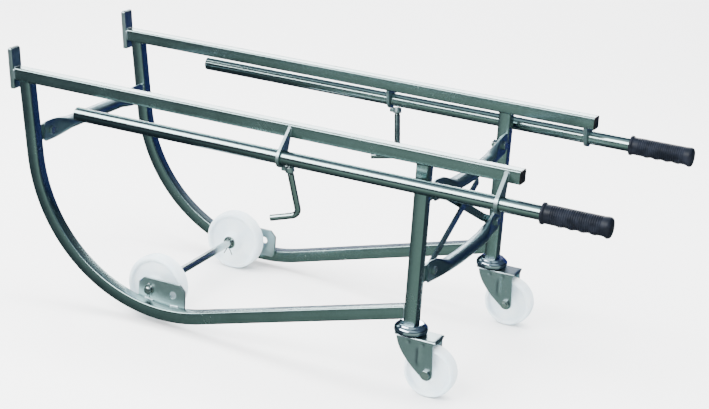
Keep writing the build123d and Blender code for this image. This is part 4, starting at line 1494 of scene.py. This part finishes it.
    def fork_lip(self, x: np.ndarray, y: np.ndarray) -> tuple[np.ndarray, np.ndarray]:
        """Turn the rear of the top plate down in a quarter circle and a short straight lip.

        Args:
            x: Places along the flat sheet (n, m).
            y: Distances from the middle plane (n, 1).

        Returns:
            The bent sheet's x, and how far each point is lowered.
        """
        shelf, radius = self.fork_high[0] - self.lip_bend, self.lip_bend
        over = np.where(y < self.half - self.bend - self.lip_side, np.clip(x - shelf, 0, None), 0.0)
        swing = np.minimum(over / radius, pi / 2)
        drop = radius * (1 - np.cos(swing)) + np.clip(over - radius * pi / 2, 0, None)
        return np.where(over > 0, shelf + radius * np.sin(swing), x), drop

    def inward(self, piece: bpy.types.Object) -> float:
        """Solidify offset that puts the wall inside the U, from the way the top plate faces.

        Args:
            piece: The open sheet.

        Returns:
            -1 where the top plate faces up, else 1.
        """
        mesh = piece.data
        normals = np.zeros(len(mesh.polygons) * 3)
        mesh.polygons.foreach_get("normal", normals)
        up = normals.reshape(-1, 3)[:, 2]
        return -1.0 if up[np.argmax(np.abs(up))] > 0 else 1.0

    def fork_edges(self, y: np.ndarray, z: np.ndarray) -> tuple[np.ndarray, np.ndarray]:
        """Front and rear edges of the fork's sheet.

        Round the foot both edges are a circle about the axle. Above it the front edge sweeps forwards
        as (1 - height share)^sweep to the nose, and the rear edge is nearly upright and flares out in
        a quarter circle under the plate. On the top plate the front edge is an arc about the swivel axis.

        Args:
            y: Distance from the middle plane.
            z: Height.

        Returns:
            The x of the front edge and of the rear edge at each place.
        """
        px, ax, az, r = self.pivot[0], self.axle[0], self.axle[2], self.foot_radius
        top, half, bend = self.top, self.half, self.bend
        nose = px - (self.nose_radius ** 2 - half ** 2) ** 0.5
        arc_front = px - np.sqrt(np.clip(self.nose_radius ** 2 - y ** 2, 0, None))
        below = np.clip(az - z, 0, r)
        foot = np.sqrt(np.clip(r ** 2 - below ** 2, 0, None))
        joint = radians(self.foot_joint)
        joint_z = az - r * sin(joint)
        joint_x = ax - r * cos(joint)
        rise = np.clip((z - joint_z) / (top - joint_z), 0, 1)
        swept = nose + (joint_x - nose) * (1 - rise) ** self.sweep
        leg_front = np.where(z < joint_z, ax - foot, swept)
        on_plate = z >= top - bend
        front = np.where(on_plate, np.where(y < half - bend, arc_front, nose), leg_front)
        plate_rear = self.fork_high[0]
        upright = ax + r - np.clip((z - az) / (top - az), 0, 1) * self.heel
        flare = np.clip((z - top + self.flare_height) / (self.flare_height - bend), 0, 1)
        flared = upright + (plate_rear - upright) * (1 - np.sqrt(1 - flare ** 2))
        rear = np.where(on_plate, plate_rear, np.where(z < az, ax + foot, flared))
        return front, np.where(y < half - bend - self.lip_side, plate_rear + self.lip, rear)

    def wheel(self) -> None:
        """Nylon wheel on its bush, turned about the caster's axle."""
        profile = wheel_profile(self.wheel_radius, self.tread, self.rim, self.web, self.hub, self.hub_length,
                                self.bush)
        piece = skin(f"{self.name}_caster_tyre", [turned(profile, self.axle, Y_AXIS, 120)], sharp=45)
        fit(piece, "nylon", f"{self.name}_caster_roller", f"{self.name}_caster_wheel")


# Cross tubes and brace -------------------------------------------------------------------------


@dataclass
class CrossMembers:
    """Three tubes with flattened ends, their tabs and bolts, and the crossed flat bars."""

    radius: float = 13.45
    blade: float = 4.0
    flat_in: float = 38.0
    flat_lead: float = 4.0
    round_in: float = 104.0
    bow_in: float = 138.0
    level_half: float = 30.0
    dip: float = 16.0
    tip_share: float = 0.5
    sharp_power: float = 5.0
    round_power: float = 2.0
    edge: float = 0.6
    tab: float = 5.0
    tab_weld: float = 1.8
    tab_weld_half: float = 14.0

    def __post_init__(self) -> None:
        """Read the clear half width between the rails, and work out the flat ends' half height."""
        self.gap_half = span("right_top_rail")[0][1]
        self.tall = pi * self.radius / 2
        self.dips = {"front_cross_tube": 0.0, "rear_lower_cross_tube": self.dip,
                     "rear_upper_cross_tube": self.dip}

    def build(self) -> None:
        """Build tubes, and finish tabs, bolts, nuts and bars."""
        for node, dip in self.dips.items():
            self.tube(node, dip)
        for node, finish in (("cross_tube_tabs", "flat"), ("cross_bolts", "hardware"),
                             ("cross_nuts", "hardware"), ("brace_bar_front", "frame"),
                             ("brace_bar_rear", "frame")):
            finished_copy(node, finish, "frame", self.edge)
        self.tab_welds()

    def stations(self, reach: float, tip: float) -> np.ndarray:
        """Places of the sections along y: close at the tip and over the change to round, few between.

        Args:
            reach: Distance of the tip from the middle.
            tip: Length over which the tip closes.

        Returns:
            The y of each section from end to end.
        """
        near_tip = reach - tip * (1 - np.cos(np.linspace(0, pi / 2, 9)))
        flat_end = self.gap_half - self.flat_in
        slope = np.linspace(flat_end, self.gap_half - self.round_in, 22)
        half = np.concatenate((near_tip, [flat_end + self.flat_lead], slope, [self.level_half, 0.0]))
        return np.concatenate((half, -half[-2::-1]))

    def tube(self, node: str, dip: float) -> None:
        """Round tube pressed flat at both ends.

        With s running from 0 at the blade to 1 at the round tube and e = s^2 (3 - 2 s), half width and
        half height are mixed by e between blade and round. The section is a superellipse whose power
        falls from 5 to 2. The middle hangs by dip, eased in over a longer run. At the tip the height
        closes in an arc.

        Args:
            node: The CAD node that it replaces.
            dip: How far the middle hangs below the blades.
        """
        low, high = span(node)
        mid_x, reach, z = (low[0] + high[0]) / 2, high[1], high[2] - self.tall
        tip = self.tall * self.tip_share
        y = self.stations(reach, tip)
        ease = eased((self.gap_half - self.flat_in - np.abs(y)) / (self.round_in - self.flat_in))
        wide = self.blade / 2 + (self.radius - self.blade / 2) * ease
        inset = np.clip(np.abs(y) - (reach - tip), 0, tip) / tip
        tip_arc = self.tip_share + (1 - self.tip_share) * np.sqrt(np.clip(1 - inset ** 2, 0, 1))
        height = (self.tall + (self.radius - self.tall) * ease) * tip_arc
        hang = dip * eased((reach - np.abs(y)) / (reach - self.gap_half + self.bow_in))
        bulge = 2 / (self.sharp_power - (self.sharp_power - self.round_power) * ease)[:, None]
        cosine, sine = ring(1.0, 56).T[:, None, :]
        u = np.sign(cosine) * np.abs(cosine) ** bulge * wide[:, None]
        v = np.sign(sine) * np.abs(sine) ** bulge * height[:, None]
        grid = np.stack((mid_x + u, np.broadcast_to(y[:, None], u.shape), z - hang[:, None] + v), axis=2)
        fit(skin(f"{node}_pressed", [capped(grid)], sharp=38), "cross", "frame", node)

    def tab_welds(self) -> None:
        """Upright beads on both faces of each tab, where it meets the side frame's inner face."""
        bead, half = WeldBead(self.tab_weld), self.tab_weld_half
        for node in self.dips:
            low, high = span(node)
            tab_x = (low[0] + high[0]) / 2 - self.blade / 2
            z = high[2] - self.tall
            for side in Side:
                y = side.value * self.gap_half
                for tag, face, x in (("a", -1, tab_x - self.tab), ("b", 1, tab_x)):
                    bead.lay(f"{side.label}_weld_{node}_{tag}", (x, y, z - half), (x, y, z + half),
                             (face, -side.value, 0), seed=len(node) + side.value + ord(tag))


# Studio ----------------------------------------------------------------------------------------


@dataclass(frozen=True)
class Lamp:
    """One soft rectangular lamp that the camera doesn't see."""

    name: str
    place: Triple
    aim: Triple
    size: tuple[float, float]
    power: float
    mirrored: bool = True

    def build(self) -> None:
        """Hang the lamp at its place and point it at its aim."""
        lamp = bpy.data.lights.new(self.name, "AREA")
        lamp.shape = "RECTANGLE"
        lamp.size, lamp.size_y = self.size
        lamp.energy = self.power
        holder = bpy.data.objects.new(self.name, lamp)
        holder.location = self.place
        aim = Vector(self.aim) - Vector(self.place)
        holder.rotation_euler = aim.to_track_quat("-Z", "Y").to_euler()
        holder.visible_camera = False
        holder.visible_glossy = self.mirrored
        bpy.context.scene.collection.objects.link(holder)


@dataclass
class Studio:
    """Floor, soft lights, pale surroundings and the camera, in metres."""

    place: Triple = (1.3941, -3.0241, 1.4116)
    azimuth: float = 24.17
    elevation: float = 19.15
    roll: float = 4.10
    lens: float = 90.11
    sensor: float = 36.0
    far_clip: float = 100.0
    floor_size: float = 30.0
    lamps: tuple[Lamp, ...] = (
        Lamp("overhead", (0.0, 0.4, 3.6), (0.0, 0.0, 0.2), (4.6, 2.3), 420.0, mirrored=False),
        Lamp("front_high", (-1.7, -2.9, 3.2), (0.0, 0.0, 0.2), (4.8, 2.6), 520.0),
        Lamp("behind", (-2.0, 5.2, 2.3), (0.0, 0.0, 0.3), (4.5, 1.5), 340.0),
    )
    flag_x: tuple[float, float] = (-1.8, 0.6)
    flag_y: float = 0.72
    flag_z: tuple[float, float] = (0.01, 0.44)
    flag_color: Color = (0.010, 0.014, 0.050)
    backdrop: Color = (2.5, 2.52, 2.55)
    clear: Color = (1.0, 1.0, 1.0)
    deep: Color = (0.15, 0.16, 0.22)
    deep_x: tuple[float, float] = (-0.53, -0.36)
    deep_y: tuple[float, float] = (0.3, -0.4)
    deep_z: tuple[float, float] = (0.05, 0.35)
    sky: tuple[tuple[float, Color], ...] = (
        (-1.0, (0.05, 0.08, 0.10)),
        (-0.48, (0.36, 0.48, 0.42)),
        (-0.22, (0.62, 0.80, 0.70)),
        (0.02, (0.03, 0.05, 0.09)),
        (0.24, (0.06, 0.10, 0.15)),
        (0.50, (0.34, 0.48, 0.52)),
        (1.0, (0.9, 1.15, 1.2)),
    )

    def build(self) -> None:
        """Set up floor, card, world, lamps and camera."""
        self.floor()
        self.flag()
        self.world()
        for lamp in self.lamps:
            lamp.build()
        self.camera()

    def floor(self) -> None:
        """Large flat floor at height zero, left out of mirror reflections so that plating stays deep."""
        half = self.floor_size / 2 / MM
        line = np.linspace(-half, half, 5)
        grid = np.stack(np.meshgrid(line, line, [0.0], indexing="ij"), axis=-1)[:, :, 0]
        floor = skin("studio_floor", [grid], closed=False)
        if floor.data.polygons[0].normal.z < 0:
            floor.data.flip_normals()
        floor.visible_glossy = False
        dress(floor, "floor")

    def flag(self) -> None:
        """Dark blue card behind the low tubes, met only by mirror reflections."""
        (x0, x1), y, (z0, z1) = self.flag_x, self.flag_y, self.flag_z
        corners = np.array([[(x0, y, z0), (x1, y, z0)], [(x0, y, z1), (x1, y, z1)]]) / MM
        card = skin("reflection_flag", [corners], closed=False)
        for kind in ("camera", "diffuse", "transmission", "volume_scatter", "shadow"):
            setattr(card, f"visible_{kind}", False)
        bench = FinishBench("flag_blue")
        bench.set(Base_Color=(*self.flag_color, 1.0), Roughness=1.0, Specular_IOR_Level=0.0)
        card.data.materials.append(bench.material)

    def world(self) -> None:
        """Surroundings: pale to the eye and to matt surfaces, and a tinted gradient to mirrors.

        Mirrors meet the sky's colour for the direction's height, times the low tint.
        """
        world = bpy.data.worlds.new("studio_world")
        bpy.context.scene.world = world
        world.use_nodes = True
        bench = NodeBench(world.node_tree)
        split = bench.add("ShaderNodeSeparateXYZ")
        bench.link(bench.add("ShaderNodeTexCoord").outputs["Generated"], split.inputs[0])
        ramp = bench.add("ShaderNodeValToRGB")
        bench.link(bench.spread(split.outputs["Z"], start=-1.0), ramp.inputs["Fac"])
        stops = ramp.color_ramp.elements
        while len(stops) < len(self.sky):
            stops.new(0.5)
        for stop, (level, color) in zip(stops, self.sky):
            stop.position = (level + 1) / 2
            stop.color = (*color, 1.0)
        mirrored = bench.add("ShaderNodeVectorMath", operation="MULTIPLY")
        bench.link(ramp.outputs["Color"], mirrored.inputs[0])
        bench.link(self.low_tint(bench, split.outputs), mirrored.inputs[1])
        ray = bench.add("ShaderNodeLightPath").outputs
        direct = bench.maths("MAXIMUM", ray["Is Camera Ray"], ray["Is Diffuse Ray"])
        color = bench.blend(direct, mirrored.outputs[0], self.backdrop)
        background = world.node_tree.nodes["Background"].inputs
        bench.link(color, background["Color"])
        background["Strength"].default_value = 1.0

    def low_tint(self, bench: NodeBench, way: bpy.types.bpy_prop_collection) -> bpy.types.NodeSocket:
        """Tint of the surroundings: deep blue to the right, and low down to the front; none elsewhere.

        The share left clear is max(height, away from the front) * to the left, each a smooth step.

        Args:
            bench: Work on the world's nodes.
            way: Sockets with the direction's x, y and z.

        Returns:
            The tint's socket.
        """
        along, across, up = (bench.spread(way[axis], start=start, end=end, curve="SMOOTHSTEP")
                             for axis, (start, end) in zip("XYZ", (self.deep_x, self.deep_y, self.deep_z)))
        amount = bench.maths("MULTIPLY", bench.maths("MAXIMUM", up, along), across)
        return bench.blend(amount, self.deep, self.clear)

    def camera(self) -> None:
        """Camera that looks down on the truck from its left, nearer the handles, slightly rolled."""
        az, el, roll = radians(self.azimuth), radians(self.elevation), radians(self.roll)
        forward = Vector((-sin(az) * cos(el), cos(az) * cos(el), -sin(el)))
        level = Vector((cos(az), sin(az), 0))
        upright = level.cross(forward)
        right = level * cos(roll) + upright * sin(roll)
        up = upright * cos(roll) - level * sin(roll)
        data = bpy.data.cameras.new("camera")
        data.lens = self.lens
        data.sensor_width = self.sensor
        data.clip_end = self.far_clip
        camera = bpy.data.objects.new("camera", data)
        turn = Matrix((right, up, -forward)).transposed()
        camera.matrix_world = Matrix.Translation(self.place) @ turn.to_4x4()
        bpy.context.scene.collection.objects.link(camera)
        bpy.context.scene.camera = camera


def main() -> None:
    """Build the studio and the whole truck."""
    logging.basicConfig(level=logging.INFO, format="%(name)s: %(message)s")
    Studio().build()
    for side in Side:
        SideFrame(side).build()
        Handle(side).build()
        Caster(side).build()
    FrontWheels().build()
    CrossMembers().build()


if __name__ == "__main__":
    main()
